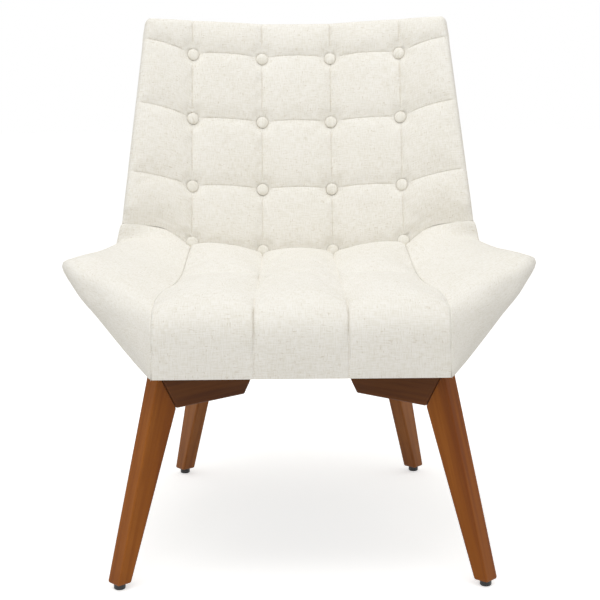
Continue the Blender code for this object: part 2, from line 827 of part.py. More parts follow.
def wing_under(i):
    """The hidden underside of the wing: onto the floor, up the side board and round its top."""
    start = seat_wall_foot(i) + Vector((GAP, 0, 0))
    down, inward = side_frame(i)
    top = rim(i) + down * WING_LIP + inward * LEDGE
    if i < BOARD_STATIONS[0]:
        toe = Vector((-WING_TOE_X, WING_TOE_Y, 0))
        end = rim(i) + (inward + down) * LEDGE * i + toe * (1 - i)
        steps = len(FLOOR_SHARES) + 2
        return [start.lerp(end, step / steps) for step in range(steps + 1)]
    over = top + inward * (SIDE_BOARD + 2 * GAP)
    foot = over + down * ((over.z - FLOOR_Z) / -down.z)
    return [*(start.lerp(foot, share) for share in FLOOR_SHARES), foot, over, top]


def wing_tuck(i):
    """The last two rows, in the crease under the back and behind the back's lower edge."""
    places = outer_columns(HEM_HALF)
    ledge_x = side_half_width(HEM_EDGE_S, -BACK_FOAM) - LEDGE
    if i == CREASE:
        drops = [blend(-HEM_DROP, -EDGE_DROP, edge_drop(HEM_HALF - x)) for x in places]
        upper = [crease_point(x, drop) for x, drop in zip(places, drops)]
        upper.append(ledge_point(HEM_HALF - 2 * LEDGE, HEM_EDGE_S - GAP, HEM_HALF))
    else:
        places[-2:] = end_columns(ledge_x, HEM_HALF)[::-1]
        upper = [crease_point(x, -BACK_FOAM) for x in places]
    start = seat_wall_foot(TUCK) + Vector((GAP, 0, 0))
    last = wing_under(CREASE - 1)
    foot = floor_at_back(last[-3].x - WING_LIP / 2)
    over = crease_point(last[-2].x - WING_LIP, -BACK_FOAM)
    over_s = height_at_level(over.x, last[-2].z, -BACK_FOAM)
    over = back_point(over.x, over_s, -BACK_FOAM)
    top = back_point(ledge_x - LEDGE, HEM_EDGE_S - GAP - WING_LIP, -BACK_FOAM)
    under = [*(start.lerp(foot, share) for share in FLOOR_SHARES), foot, over, top]
    under = [back_point(p.x, height_at_level(p.x, p.z, -BACK_FOAM), -BACK_FOAM) for p in under]
    if i == CREASE:
        under = [halfway(a, b) for a, b in zip(last, under)]
        lip = upper[-1] - wing_top(CREASE - 1)[-1]
        under[-2:] = [point + lip for point in last[-2:]]
    return upper, under


def add_wing_pads():
    """Foam and cover of the two flared arms."""
    rows = [(wing_top(i), wing_under(i)) for i in range(CREASE)]
    rows += [wing_tuck(CREASE), wing_tuck(TUCK)]
    upper, lower = zip(*rows)
    for name, side in SIDES:
        slab("wing_pad_" + name, linen(), mirrored(upper, side), mirrored(lower, side))


# Outside covers

def outside_point(s, inset=0.0):
    """The chair's rear side edge at the height s."""
    return back_point(rear_half_width(s) - inset, s, -back_depth(s))


def side_lines():
    """Down the right side: a point on the rim, one on the keel or the rear edge, and for each of
    them the direction square to the outside into the chair."""
    pairs = [(rim(i), keel(i)) for i in range(1, CREASE)]
    corner = outside_point(REAR_CORNER_S)
    lows = [KEEL_REAR.lerp(corner, share) for share in KEEL_CORNER_SHARES]
    lows += [outside_point(blend(REAR_CORNER_S, HEM_EDGE_S, share)) for share in FAN_REAR_SHARES]
    for place, low in enumerate(lows):
        pairs.append((RIM_REAR.lerp(RIM_CREASE, (place + 1) / len(lows)), low))
    for share in SIDE_HEIGHT_SHARES:
        s = blend(HEM_EDGE_S, CORNER_S, share)
        pairs.append((back_point(half_width(s), s, -EDGE_DROP), outside_point(s)))
    for turn in CORNER_TURNS[1:-1] + [CORNER_TURNS[-1] * LAST_TURN_SHARE]:
        s, front = top_corner(turn, half_width(CORNER_S))
        rear = top_corner(turn, rear_half_width(CORNER_S))[1]
        pairs.append((back_point(front, s, -EDGE_DROP), back_point(rear, s, -back_depth(s))))
    lines = []
    for i, (high, low) in enumerate(pairs):
        if i < CREASE - 1:
            inward = side_frame(i + 1)[1]
            lines.append((high, low, inward, inward))
            continue
        before, after = pairs[i - 1], pairs[min(i + 1, len(pairs) - 1)]
        if high == RIM_CREASE:
            before = (high, before[1])
        square = [(low - high).cross(after[end] - before[end]).normalized() for end in (0, 1)]
        square = [-way if way.dot(CHAIR_MIDDLE - high) < 0 else way for way in square]
        lines.append((high, low, *square))
    return lines


def add_side_covers():
    """The cloth down each side, from the rim of the wing and of the back to the frame and rear."""
    outside = []
    inside = []
    for i, (high, low, high_inward, low_inward) in enumerate(side_lines()):
        drop = 3 * GAP + (COVER if high == RIM_CREASE else 0)
        high = high + (low - high).normalized() * drop
        inward = [high_inward, (high_inward + low_inward).normalized(), low_inward]
        if i in CORNER_LINES:
            inward[0] = inward[0] * CORNER_THIN_SHARE
        outside.append([high, halfway(high, low), low])
        inside.append([point + way * COVER for point, way in zip(outside[-1], inward)])
    for name, side in SIDES:
        slab("side_cover_" + name, linen(), mirrored(outside, side), mirrored(inside, side))


def add_outer_back_cover():
    """The cloth over the rear, between the rear edges of the side covers."""
    top = BACK_HEIGHT - TOP_FOAM - GAP
    levels = [REAR_CORNER_S + (HEM_EDGE_S - REAR_CORNER_S) * share for share in (0.0, *FAN_REAR_SHARES)]
    levels += [blend(HEM_EDGE_S, CORNER_S, share) for share in SIDE_HEIGHT_SHARES]
    edges = side_lines()[CREASE:CREASE + len(levels)]
    halves = []
    for (_, low, _, inward), level in zip(edges, levels):
        rear_d = -back_depth(level)
        sideways = (back_point(low.x - COVER, level, rear_d) - back_point(low.x, level, rear_d)).normalized()
        halves.append(low.x - (COVER + 2 * GAP) / inward.dot(sideways))
    levels.append(top)
    halves.append(halves[-1] - BACK_CORNER_RADIUS / 2)
    outside = []
    inside = []
    for level, half in zip(levels, halves):
        share = (level - REAR_CORNER_S) / (top - REAR_CORNER_S)
        places = spread(-half, half, OUTER_BACK_COLUMNS)
        feet = [outside_foot(x * halves[0] / half) - outside_foot(halves[0]) for x in places]
        heights = [level + foot * (1 - share) for foot in feet]
        outside.append([back_point(x, s, -back_depth(s)) for x, s in zip(places, heights)])
        inside.append([back_point(x, s, COVER - back_depth(s)) for x, s in zip(places, heights)])
    slab("outer_back_cover", linen(), outside, inside)


def base_outline(inset, front_y, corner_cut, rear_inset):
    """The outline of a flat piece under the seat, counter-clockwise from the front left."""
    front = KEEL_FRONT_X - inset
    right = [(front - corner_cut, front_y), (front, front_y + corner_cut), (KEEL_TIP_X - inset, KEEL_TIP_Y),
             (KEEL_REAR_X - inset, KEEL_REAR_Y)]
    half = REAR_CORNER_X - inset
    for place in range(BASE_REAR_STEPS + 1):
        x = half * (1 - place / BASE_REAR_STEPS)
        s = outside_foot(x)
        right.append((x, back_point(x, s, -back_depth(s)).y - rear_inset))
    left = [(-x, y) for x, y in reversed(right[:-1])]
    return right + left


def bolt_places():
    for name, foot, onward in leg_stations():
        for place, distance in (("outer", BOLT_OUTER_PLACE), ("inner", BOLT_INNER_PLACE)):
            spot = foot + onward * distance
            yield name + "_" + place, spot


def leg_stations():
    for name, side in SIDES:
        foot = Vector((FRONT_FOOT_X * side, FRONT_FOOT_Y, 0))
        yield "front_" + name, foot, Vector((-side * math.cos(FRONT_LEG_TURN), math.sin(FRONT_LEG_TURN), 0))
    for name, side in SIDES:
        foot = Vector((REAR_FOOT_X * side, REAR_FOOT_Y, 0))
        yield "rear_" + name, foot, Vector((-side * math.cos(REAR_LEG_TURN), -math.sin(REAR_LEG_TURN), 0))


def add_base():
    """The plywood the seat is built on and the dust cloth stapled under it."""
    outline = base_outline(BASE_INSET, FRONT_BOARD_Y + GAP, BASE_CORNER_CUT, BASE_REAR_INSET)
    panel = flat_plate("seat_base_panel", bare_plywood(), outline, BASE_PANEL)
    panel.location.z = FRAME_BOTTOM_Z + BASE_PANEL / 2
    outline = base_outline(DUST_COVER_INSET, KEEL_FRONT_Y, DUST_COVER_INSET, DUST_COVER_INSET)
    cloth = flat_plate("dust_cover", dust_cloth(), outline, DUST_COVER)
    cloth.location.z = DUST_COVER_TOP_Z - DUST_COVER / 2
    top = FRAME_BOTTOM_Z + BASE_PANEL
    recess = top - NUT_FLANGE - GAP
    for name, spot in bolt_places():
        flange, barrel = NUT_FLANGE_DIAMETER / 2 + GAP, NUT_BARREL_DIAMETER / 2 + GAP
        seat = stepped(flange, top + BASE_PANEL, recess, barrel, FRAME_BOTTOM_Z - BASE_PANEL)
        cut(panel, add_cutter("nut_seat_" + name, seat, spot))
        hole = rod(BOLT_HOLE_DIAMETER, BRACKET_TOP_Z - BASE_PANEL, FRAME_BOTTOM_Z + BASE_PANEL)
        cut(cloth, add_cutter("cloth_hole_" + name, hole, spot))


def add_box(name, material, low, high):
    x0, y0, z0 = low
    x1, y1, z1 = high
    upper = [[Vector((x0, y0, z1)), Vector((x1, y0, z1))], [Vector((x0, y1, z1)), Vector((x1, y1, z1))]]
    lower = [[Vector((x0, y0, z0)), Vector((x1, y0, z0))], [Vector((x0, y1, z0)), Vector((x1, y1, z0))]]
    return slab(name, material, upper, lower)


def add_seat_frame():
    front = FRONT_BOARD_Y + GAP
    half = KEEL_FRONT_X - RAIL_END_INSET
    low = (-half, front, FLOOR_Z)
    add_box("front_rail", bare_timber(), low, (half, front + RAIL_THICK, FLOOR_Z + RAIL_HEIGHT))
    outside = []
    inside = []
    for i in BOARD_STATIONS:
        down, inward = side_frame(i)
        outer = rim(i) + down * (WING_LIP + GAP) + inward * (LEDGE + GAP / 2)
        inner = outer + inward * SIDE_BOARD
        levels = (FLOOR_Z, FRAME_BOTTOM_Z)
        outside.append([outer] + [outer + down * ((outer.z - z) / -down.z) for z in levels])
        inside.append([inner] + [inner + down * ((inner.z - z) / -down.z) for z in levels])
    for name, side in SIDES:
        slab("side_board_" + name, bare_plywood(), mirrored(outside, side), mirrored(inside, side))


def frame_row(places, s, d):
    """A row of points at the height s. A row with no height stands on the seat base."""
    if s is None:
        return [back_point(x, height_at_level(x, FLOOR_Z, d), d) for x in places]
    return [back_point(x, s, d) for x in places]


def back_slab(name, material, heights, places_at, front_d, rear_d_at):
    """A piece of the back's frame between two depths, upright or lying along the back."""
    front = []
    rear = []
    for s in heights:
        level = heights[1] if s is None else s
        front.append(frame_row(places_at(s), s, front_d))
        rear.append(frame_row(places_at(s), s, rear_d_at(level)))
    return slab(name, material, front, rear)


def add_back_frame():
    top = BACK_HEIGHT - TOP_FOAM - GAP
    low_half = REAR_CORNER_X - BACK_PANEL_INSET
    foot = height_at_level(0, FLOOR_Z, -BACK_FOAM)
    panel_front = -(BACK_FOAM + CURVE_GAP)

    def panel_half(s):
        if s is None:
            return low_half
        upright = side_half_width(max(s, HEM_EDGE_S), panel_front) - LEDGE - BACK_PANEL_INSET
        if s > CORNER_S:
            upright -= BACK_CORNER_RADIUS
        return blend(low_half, upright, clamp((s - foot) / (HEM_EDGE_S - foot)))

    def panel_places(s):
        middle = low_half - BACK_PANEL_INSET
        ends = spread(middle, panel_half(s), 3)[1:]
        return [-x for x in reversed(ends)] + spread(-middle, middle, BACK_PANEL_COLUMNS) + ends

    heights = [None, *spread(foot, HEM_EDGE_S, 5)[1:], *spread(HEM_EDGE_S, CORNER_S, 3)[1:], top]
    back_slab("back_panel", bare_plywood(), heights, panel_places, panel_front,
              lambda s: panel_front - BACK_PANEL)
    frame_front = panel_front - BACK_PANEL - CURVE_GAP

    def frame_rear(s):
        return COVER + 2 * CURVE_GAP - back_depth(s)

    rail_foot = top - TOP_RAIL_HEIGHT
    half = rear_half_width(CORNER_S) - BACK_CORNER_RADIUS - LEDGE
    back_slab("top_rail", bare_timber(), [rail_foot, top],
              lambda s: spread(-half, half, BACK_PANEL_COLUMNS), frame_front, frame_rear)

    def post_places(s):
        share = 0.0 if s is None else (s - foot) / (rail_foot - foot)
        outer = blend(REAR_CORNER_X - POST_FOOT_INSET, BACK_TOP_HALF - POST_TOP_INSET, share)
        return spread(outer - POST_WIDTH, outer, 3)

    heights = [None, *spread(foot, rail_foot - GAP, 6)[1:]]
    for name, side in SIDES:
        back_slab("back_post_" + name, bare_timber(), heights,
                  lambda s: [side * x for x in post_places(s)], frame_front, frame_rear)


# Buttons

def add_buttons():
    rim_radius = BUTTON_DIAMETER / 2
    profile = [(0, BUTTON_HEIGHT)]
    for place in range(1, BUTTON_DOME_STEPS + 1):
        turn = math.pi / 2 * place / BUTTON_DOME_STEPS
        rise = (BUTTON_HEIGHT - BUTTON_RIM_HEIGHT) * math.cos(turn)
        profile.append((rim_radius * math.sin(turn), BUTTON_RIM_HEIGHT + rise))
    profile += [(BUTTON_BACK_DIAMETER / 2, 0), (0, 0)]
    for row, s in enumerate(reversed(BACK_ROWS), 1):
        for column, x in enumerate(BACK_COLUMNS, 1):
            place = back_point(x, raised(x, s, half_width(s)), GAP - POCKET_DEPTH)
            button = add_turned(f"button_r{row}_c{column}", button_linen(), profile, place, FINE_STEPS)
            lean = math.asin(x / BACK_CURVE_RADIUS)
            level = math.cos(lean)
            outward = Vector((-math.sin(lean), -level * math.cos(RECLINE), level * math.sin(RECLINE)))
            button.rotation_euler = outward.to_track_quat("Z", "Y").to_euler()


# Legs

def upright_plate(name, outline, foot, onward):
    """A plank standing on edge in the vertical plane through a foot and the middle of the seat."""
    plank = flat_plate(name, stained_wood(), outline, LEG_THICK)
    across = Vector((onward.y, -onward.x, 0))
    axes = Matrix((onward, (0, 0, 1), across)).transposed()
    plank.matrix_world = Matrix.Translation(foot) @ axes.to_4x4()
    return plank


def add_legs():
    heel = LEG_HEEL - LEG_FOOT_WIDTH
    mitre_top = heel + (BRACKET_TOP_Z - LEG_BOTTOM_Z) * LEG_OUTER_LEAN
    low = BRACKET_TOP_Z - BRACKET_DEPTH
    mitre_low = LEG_HEEL + (low - LEG_BOTTOM_Z) * LEG_INNER_LEAN
    leg = [(heel, LEG_BOTTOM_Z), (LEG_HEEL, LEG_BOTTOM_Z), (mitre_low, low), (mitre_top, BRACKET_TOP_Z)]
    nose = low + BRACKET_NOSE_CUT
    bracket = [
        (mitre_low + 2 * GAP, low),
        (BRACKET_NOSE, low),
        (BRACKET_NOSE + BRACKET_NOSE_SLOPE, nose),
        (BRACKET_REACH, BRACKET_TOP_Z),
        (mitre_top + 2 * GAP, BRACKET_TOP_Z),
    ]
    for name, foot, onward in leg_stations():
        post = upright_plate("leg_" + name, leg, foot, onward)
        round_edges(post, LEG_EDGE)
        arm = upright_plate("leg_bracket_" + name, bracket, foot, onward)
        round_edges(arm, LEG_EDGE / 2, 1)
        bore = rod(GLIDE_PIN_DIAMETER + 2 * GAP, LEG_BOTTOM_Z - GLIDE_HEIGHT, LEG_BOTTOM_Z + GLIDE_PIN_LENGTH)
        cut(post, add_cutter("pin_bore_" + name, bore, foot))
        for place, distance in (("outer", BOLT_OUTER_PLACE), ("inner", BOLT_INNER_PLACE)):
            spot = foot + onward * distance
            hole = stepped(BOLT_HOLE_DIAMETER / 2, BRACKET_TOP_Z + BOLT_RECESS, low + BOLT_RECESS,
                           BOLT_RECESS_DIAMETER / 2, low - BOLT_RECESS)
            cut(arm, add_cutter(f"bolt_hole_{name}_{place}", hole, spot))


def add_glides():
    top, pin = GLIDE_HEIGHT, GLIDE_PIN_DIAMETER / 2
    profile = [
        (0, top + GLIDE_PIN_LENGTH - GAP),
        (pin, top + GLIDE_PIN_LENGTH - GAP),
        (pin, top),
        (GLIDE_DIAMETER / 2, top),
        (GLIDE_DIAMETER / 2, GLIDE_EDGE),
        (GLIDE_FOOT_DIAMETER / 2, 0),
        (0, 0),
    ]
    for name, foot, onward in leg_stations():
        add_turned("glide_" + name, black_nylon(), profile, foot)


def add_bolts():
    head = BRACKET_TOP_Z - BRACKET_DEPTH + BOLT_RECESS - GAP
    low = head - BOLT_HEAD_HEIGHT
    top = FRAME_BOTTOM_Z + BASE_PANEL
    bolt = [
        (0, top - NUT_FLANGE),
        (BOLT_DIAMETER / 2, top - NUT_FLANGE),
        (BOLT_DIAMETER / 2, head),
        (BOLT_HEAD_DIAMETER / 2, head),
        (BOLT_HEAD_DIAMETER / 2, low),
        (BOLT_SOCKET_DIAMETER / 2, low),
        (BOLT_SOCKET_DIAMETER / 2, low + BOLT_SOCKET_DEPTH),
        (0, low + BOLT_SOCKET_DEPTH),
    ]
    bore = BOLT_DIAMETER / 2 + GAP
    nut = [
        (bore, top),
        (NUT_FLANGE_DIAMETER / 2, top),
        (NUT_FLANGE_DIAMETER / 2, top - NUT_FLANGE),
        (NUT_BARREL_DIAMETER / 2, top - NUT_FLANGE),
        (NUT_BARREL_DIAMETER / 2, top - NUT_LENGTH),
        (bore, top - NUT_LENGTH),
    ]
    for name, spot in bolt_places():
        add_turned("bolt_" + name, zinc_steel(), bolt, spot, FINE_STEPS)
        add_turned("tee_nut_" + name, zinc_steel(), nut, spot, FINE_STEPS, bored=True)


add_back_pad()
add_seat_pad()
add_wing_pads()
add_side_covers()
add_outer_back_cover()
add_base()
add_seat_frame()
add_back_frame()
add_buttons()
add_legs()
add_glides()
add_bolts()

for made in bpy.data.objects:
    made.matrix_world = Matrix.Translation((0, DEPTH_SHIFT, 0)) @ made.matrix_basis
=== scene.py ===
"""Looks of the button-tufted lounge chair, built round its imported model.

Metres, +Z up, the chair faces -Y. The back's surfaces are places (x, s, d): x across, s up the
recline from the lowest button row, d out of the back towards the sitter.
"""

import math

import bmesh
import bpy
from mathutils import Matrix, Vector, noise


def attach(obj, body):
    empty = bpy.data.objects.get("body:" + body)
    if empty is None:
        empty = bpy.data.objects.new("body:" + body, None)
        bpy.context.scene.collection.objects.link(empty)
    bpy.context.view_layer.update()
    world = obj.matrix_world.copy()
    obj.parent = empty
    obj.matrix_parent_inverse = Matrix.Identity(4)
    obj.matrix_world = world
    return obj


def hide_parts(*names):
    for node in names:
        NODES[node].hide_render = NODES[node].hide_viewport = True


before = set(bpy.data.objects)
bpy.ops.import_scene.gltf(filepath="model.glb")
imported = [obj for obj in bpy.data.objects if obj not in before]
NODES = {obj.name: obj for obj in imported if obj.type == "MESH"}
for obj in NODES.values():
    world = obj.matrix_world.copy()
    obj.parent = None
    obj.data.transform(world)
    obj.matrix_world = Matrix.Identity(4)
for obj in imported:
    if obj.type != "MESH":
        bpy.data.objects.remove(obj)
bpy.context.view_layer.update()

# The chair's sizes, as in the model
FRAME_SHIFT = 0.0126
RECLINE = math.radians(21.1)
BACK_CURVE_RADIUS = 0.604
BACK_FOOT_Y = 0.155
BACK_FOOT_Z = 0.415
BACK_HEIGHT = 0.410
BACK_LOW_HALF = 0.3015
BACK_TOP_HALF = 0.2645
BACK_CORNER_RADIUS = 0.015
BACK_FOAM = 0.026
BACK_DEPTH_LOW = 0.080
BACK_DEPTH_TOP = 0.060
BACK_REAR_TAPER = 0.008
BACK_FLARE_HEIGHT = 0.060
REAR_CORNER_X = 0.184
TOP_FOAM = 0.008
OUTER_COLUMN = 0.1825
INNER_COLUMN = OUTER_COLUMN / 3
COLUMN_SPACING = OUTER_COLUMN - INNER_COLUMN
BUTTON_COLUMNS = (-OUTER_COLUMN, -INNER_COLUMN, INNER_COLUMN, OUTER_COLUMN)
BUTTON_ROWS = (0.0, 0.10988, 0.23288, 0.35096)
ROW_FOUR, ROW_THREE, ROW_TWO, ROW_ONE = BUTTON_ROWS
ROW_FOUR_OUTER_LIFT = 0.010
BACK_HEM = 0.0128
CORNER_S = BACK_HEIGHT - BACK_CORNER_RADIUS
PLEAT_RISES = ((-BACK_HEM, 0.037), (ROW_FOUR, 0.033), (ROW_THREE, 0.0145), (ROW_TWO, 0.017),
               (ROW_ONE, 0.0165), (CORNER_S, 0.0))
PLEAT_LEVELS_AT = 0.85
CREASE_LEVELS_AT = 0.55
PILLOW_HEIGHT = 0.0100
POCKET_DEPTH = 0.0040
EDGE_ROUND = 0.016
EDGE_DROP = 0.012
HEM_DROP = 0.004
COVER = 0.0025
GAP = 0.0003
LEDGE = COVER + 2 * GAP
FRAME_BOTTOM_Z = 0.3075
BASE_PANEL = 0.015
FLOOR_Z = FRAME_BOTTOM_Z + BASE_PANEL + GAP
SEAT_FRONT_Y = -0.380
SEAT_TOP_Z = 0.4065
SEAT_CROWN = 0.0095

# Stations of the seat and the wings, from the front hem to the crease under the back
SEAT_DEPTH_SHARES = (0.004, 0.0, 0.004, 0.018, 0.052, 0.108, 0.20, 0.31, 0.42, 0.54, 0.67, 0.80, 0.90, 0.965)
SEAT_RISE_SHARES = (0.0, 0.28, 0.56, 0.77, 0.93, 0.99, 1.00, 1.01, 1.015, 1.02, 1.03, 1.05, 1.06, 1.03)
SEAT_CROWN_SHARES = (0.0, 0.35, 0.60, 0.85, 1.0, 1.0, 1.0, 1.0, 1.0, 1.0, 1.0, 1.1, 1.1, 0.9)
OUTER_CHANNEL_SHARES = (1.0, 1.0, 1.0, 1.0, 1.0, 1.0, 0.95, 0.80, 0.35, 0.15, 0.08, 0.03, 0.0, 0.0)
INNER_CHANNEL_SHARES = (1.0, 1.0, 1.0, 1.0, 1.0, 0.95, 0.85, 0.70, 0.50, 0.35, 0.20, 0.10, 0.0, 0.0)
# From the front to the wing's tip, and from there to the rear
RIM_SHARES = (0.0, 0.07, 0.28, 0.54, 0.80, 1.0, 0.10, 0.22, 0.36, 0.52, 0.68, 0.83, 0.94, 1.0)
TIP_STATION = 5
CREASE = len(SEAT_DEPTH_SHARES)
SIDES = (("left", -1), ("right", 1))


# Shares

def clamp(value):
    return max(0.0, min(1.0, value))


def blend(a, b, share):
    return a + (b - a) * share


def smooth(share):
    share = clamp(share)
    return share * share * (3 - 2 * share)


def hump(share):
    """From 0 up to 1 half way and back to 0."""
    return 4 * clamp(share) * (1 - clamp(share))


def bay_share(value, marks):
    """How far the value lies between the two marks round it, from 0 to 1, and in which bay."""
    for bay, (low, high) in enumerate(zip(marks, marks[1:])):
        if value <= high:
            return clamp((value - low) / (high - low)), bay
    return 1.0, len(marks) - 2


# Surfaces of the back

def sag(x):
    return BACK_CURVE_RADIUS - math.sqrt(BACK_CURVE_RADIUS ** 2 - x * x)


def back_point(x, s, d):
    out = sag(x) + d
    y = BACK_FOOT_Y + s * math.sin(RECLINE) - out * math.cos(RECLINE)
    z = BACK_FOOT_Z + s * math.cos(RECLINE) + out * math.sin(RECLINE)
    return Vector((x, y + FRAME_SHIFT, z))


def height_at_level(x, z, d):
    return (z - BACK_FOOT_Z - (sag(x) + d) * math.sin(RECLINE)) / math.cos(RECLINE)


def half_width(s):
    return blend(BACK_LOW_HALF, BACK_TOP_HALF, s / BACK_HEIGHT)


def back_depth(s):
    return blend(BACK_DEPTH_LOW, BACK_DEPTH_TOP, s / BACK_HEIGHT)


def outside_foot(x):
    """The height where the outside of the back meets the frame's bottom: the depth there depends on it."""
    s = 0.0
    for _ in range(20):
        s = height_at_level(x, FRAME_BOTTOM_Z, -back_depth(s))
    return s


REAR_CORNER_S = outside_foot(REAR_CORNER_X)


def rear_half_width(s):
    flare = clamp((BACK_FLARE_HEIGHT - s) / (BACK_FLARE_HEIGHT - REAR_CORNER_S))
    return blend(half_width(s) - BACK_REAR_TAPER, REAR_CORNER_X, flare ** 2)


def pleat_rise(s):
    for (low, low_rise), (high, high_rise) in zip(PLEAT_RISES, PLEAT_RISES[1:]):
        if s < high:
            return blend(low_rise, high_rise, clamp((s - low) / (high - low)))
    return 0.0


def pleat_climb(reach, s):
    """How far a pleat has climbed at this share of the way out from the button: it soon levels off."""
    levels_at = blend(CREASE_LEVELS_AT, PLEAT_LEVELS_AT, clamp(s / ROW_THREE))
    return 1 - (1 - clamp(reach / levels_at)) ** 2


def raised(x, s, edge):
    """The height of the grid line s at x: pleats climb from the outer buttons to the side edge."""
    side = smooth((abs(x) - INNER_COLUMN) / COLUMN_SPACING)
    lift = ROW_FOUR_OUTER_LIFT * side * clamp((ROW_THREE - s) / ROW_THREE)
    reach = clamp((abs(x) - OUTER_COLUMN) / (edge - OUTER_COLUMN))
    return s + lift + pleat_rise(s) * pleat_climb(reach, s)


def rim_height(s):
    return raised(BACK_LOW_HALF, s, BACK_LOW_HALF)


HEM_EDGE_S = rim_height(-BACK_HEM)
HEM_HALF = half_width(HEM_EDGE_S)


def top_corner(turn, edge):
    """Height and half width on the rounded top corner, at this turn round it."""
    s = CORNER_S + BACK_CORNER_RADIUS * math.sin(turn)
    return s, edge - BACK_CORNER_RADIUS * (1 - math.cos(turn))


def edge_drop(distance):
    """How much of the edge's drop is reached at this distance from the edge, from 1 down to 0."""
    share = clamp(1 - distance / EDGE_ROUND)
    return 1 - math.sqrt(1 - share * share)


# Making cloth surfaces

def spaced(length, step):
    return max(1, round(length / step))


def curve_through(points, steps):
    """Points on a smooth curve through the given ones, with steps[i] spans after point i."""
    lengths = [max((b - a).length, 1e-6) for a, b in zip(points, points[1:])]
    slopes = []
    for i, point in enumerate(points):
        if i == 0:
            slopes.append((points[1] - point) / lengths[0])
        elif i == len(points) - 1:
            slopes.append((point - points[i - 1]) / lengths[-1])
        else:
            before, after = lengths[i - 1], lengths[i]
            slope = (points[i + 1] - point) / after * before + (point - points[i - 1]) / before * after
            slopes.append(slope / (before + after))
    line = []
    for i, (a, b) in enumerate(zip(points, points[1:])):
        for step in range(steps[i]):
            t = step / steps[i]
            line.append(a * (2 * t ** 3 - 3 * t * t + 1) + b * (3 * t * t - 2 * t ** 3)
                        + slopes[i] * lengths[i] * (t ** 3 - 2 * t * t + t)
                        + slopes[i + 1] * lengths[i] * (t ** 3 - t * t))
    line.append(points[-1].copy())
    return line


def finer_rows(cage, steps):
    columns = [curve_through([row[j] for row in cage], steps) for j in range(len(cage[0]))]
    return [list(row) for row in zip(*columns)]


def finer(cage, row_steps, column_steps):
    return finer_rows([curve_through(row, column_steps) for row in cage], row_steps)


def steps_along(line, step):
    return [spaced((b - a).length, step) for a, b in zip(line, line[1:])]


def running_length(line):
    total = [0.0]
    for a, b in zip(line, line[1:]):
        total.append(total[-1] + (b - a).length)
    return total


def add_object(name, bm):
    """Makes the shape an object of the scene, with its place in its mesh."""
    mesh = bpy.data.meshes.new(name)
    bm.to_mesh(mesh)
    bm.free()
    thing = bpy.data.objects.new(name, mesh)
    bpy.context.scene.collection.objects.link(thing)
    return thing


def opened(thing):
    bm = bmesh.new()
    bm.from_mesh(thing.data)
    return bm


def put_back(thing, bm):
    bm.to_mesh(thing.data)
    bm.free()


def lay_grid(bm, rows):
    """Adds an open sheet through rows of points and returns its vertices, row by row."""
    made = bmesh.ops.create_grid(bm, x_segments=len(rows[0]) - 1, y_segments=len(rows) - 1, size=0.5)["verts"]
    for vert, point in zip(made, (point for row in rows for point in row)):
        vert.co = point
    return made


def cloth_grid(name, rows):
    """An open sheet through rows of points, with the cloth's own lengths as its UV map."""
    bm = bmesh.new()
    lay_grid(bm, rows)
    bm.verts.index_update()
    across, along = len(rows[0]), len(rows)
    wide = running_length(rows[along // 2])
    tall = running_length([row[across // 2] for row in rows])
    lengths = bm.loops.layers.uv.new("cloth_lengths")
    for face in bm.faces:
        for loop in face.loops:
            i, j = divmod(loop.vert.index, across)
            loop[lengths].uv = (wide[j], tall[i])
    return add_object(name, bm)


SWELL_FRAMES = 18


def inflate(thing, held, pressure, cap, slack=0.0):
    """Swells a sheet as cloth, except where it is held, and keeps the shape, moved by the cap at most."""
    scene = bpy.context.scene
    start = [vert.co.copy() for vert in thing.data.vertices]
    group = thing.vertex_groups.new(name="held")
    group.add(held, 1.0, "REPLACE")
    cloth = thing.modifiers.new("cloth", "CLOTH")
    settings = cloth.settings
    settings.quality = 6
    settings.mass = 0.3
    settings.tension_stiffness = 20
    settings.compression_stiffness = 12
    settings.shear_stiffness = 8
    settings.bending_stiffness = 0.6
    settings.shrink_min = -slack
    settings.vertex_group_mass = "held"
    settings.use_pressure = True
    settings.uniform_pressure_force = pressure
    settings.effector_weights.gravity = 0.0
    cloth.collision_settings.use_self_collision = False
    cloth.point_cache.frame_start = 1
    cloth.point_cache.frame_end = SWELL_FRAMES
    for number in range(1, SWELL_FRAMES + 1):
        scene.frame_set(number)
    graph = bpy.context.evaluated_depsgraph_get()
    swollen = thing.evaluated_get(graph).to_mesh()
    ends = [vert.co.copy() for vert in swollen.vertices]
    thing.evaluated_get(graph).to_mesh_clear()
    thing.modifiers.remove(cloth)
    scene.frame_set(1)
    for vert, before, after in zip(thing.data.vertices, start, ends):
        move = after - before
        if move.length > cap:
            move *= cap / move.length
        vert.co = before + move
    thing.data.update()


def face_towards(thing, facing):
    """Turns the sheet's faces over where they look away from this direction."""
    bm = opened(thing)
    bm.faces.ensure_lookup_table()
    if bm.faces[len(bm.faces) // 2].normal.dot(facing) < 0:
        bmesh.ops.reverse_faces(bm, faces=bm.faces)
    put_back(thing, bm)


def coarse(items, step):
    """Every so many items, and the last one too."""
    return items[::step] + ([items[-1]] if (len(items) - 1) % step else [])


def close_pad(thing, under):
    """Closes a pad with a coarse hidden underside, bridged to the sheet's edge."""
    bm = opened(thing)
    edge = [item for item in bm.edges if item.is_boundary]
    hidden = set(lay_grid(bm, under))
    rim = [item for item in bm.edges if item.is_boundary and item.verts[0] in hidden]
    bmesh.ops.bridge_loops(bm, edges=edge + rim)
    bmesh.ops.recalc_face_normals(bm, faces=bm.faces)
    put_back(thing, bm)


def held_points(across, along, first, last, held_column):
    """Numbers of the points held in a grid: its first and last rows, and the columns that are held."""
    return [i * across + j for i in range(along) for j in range(across)
            if i < first or i >= along - last or held_column(j)]


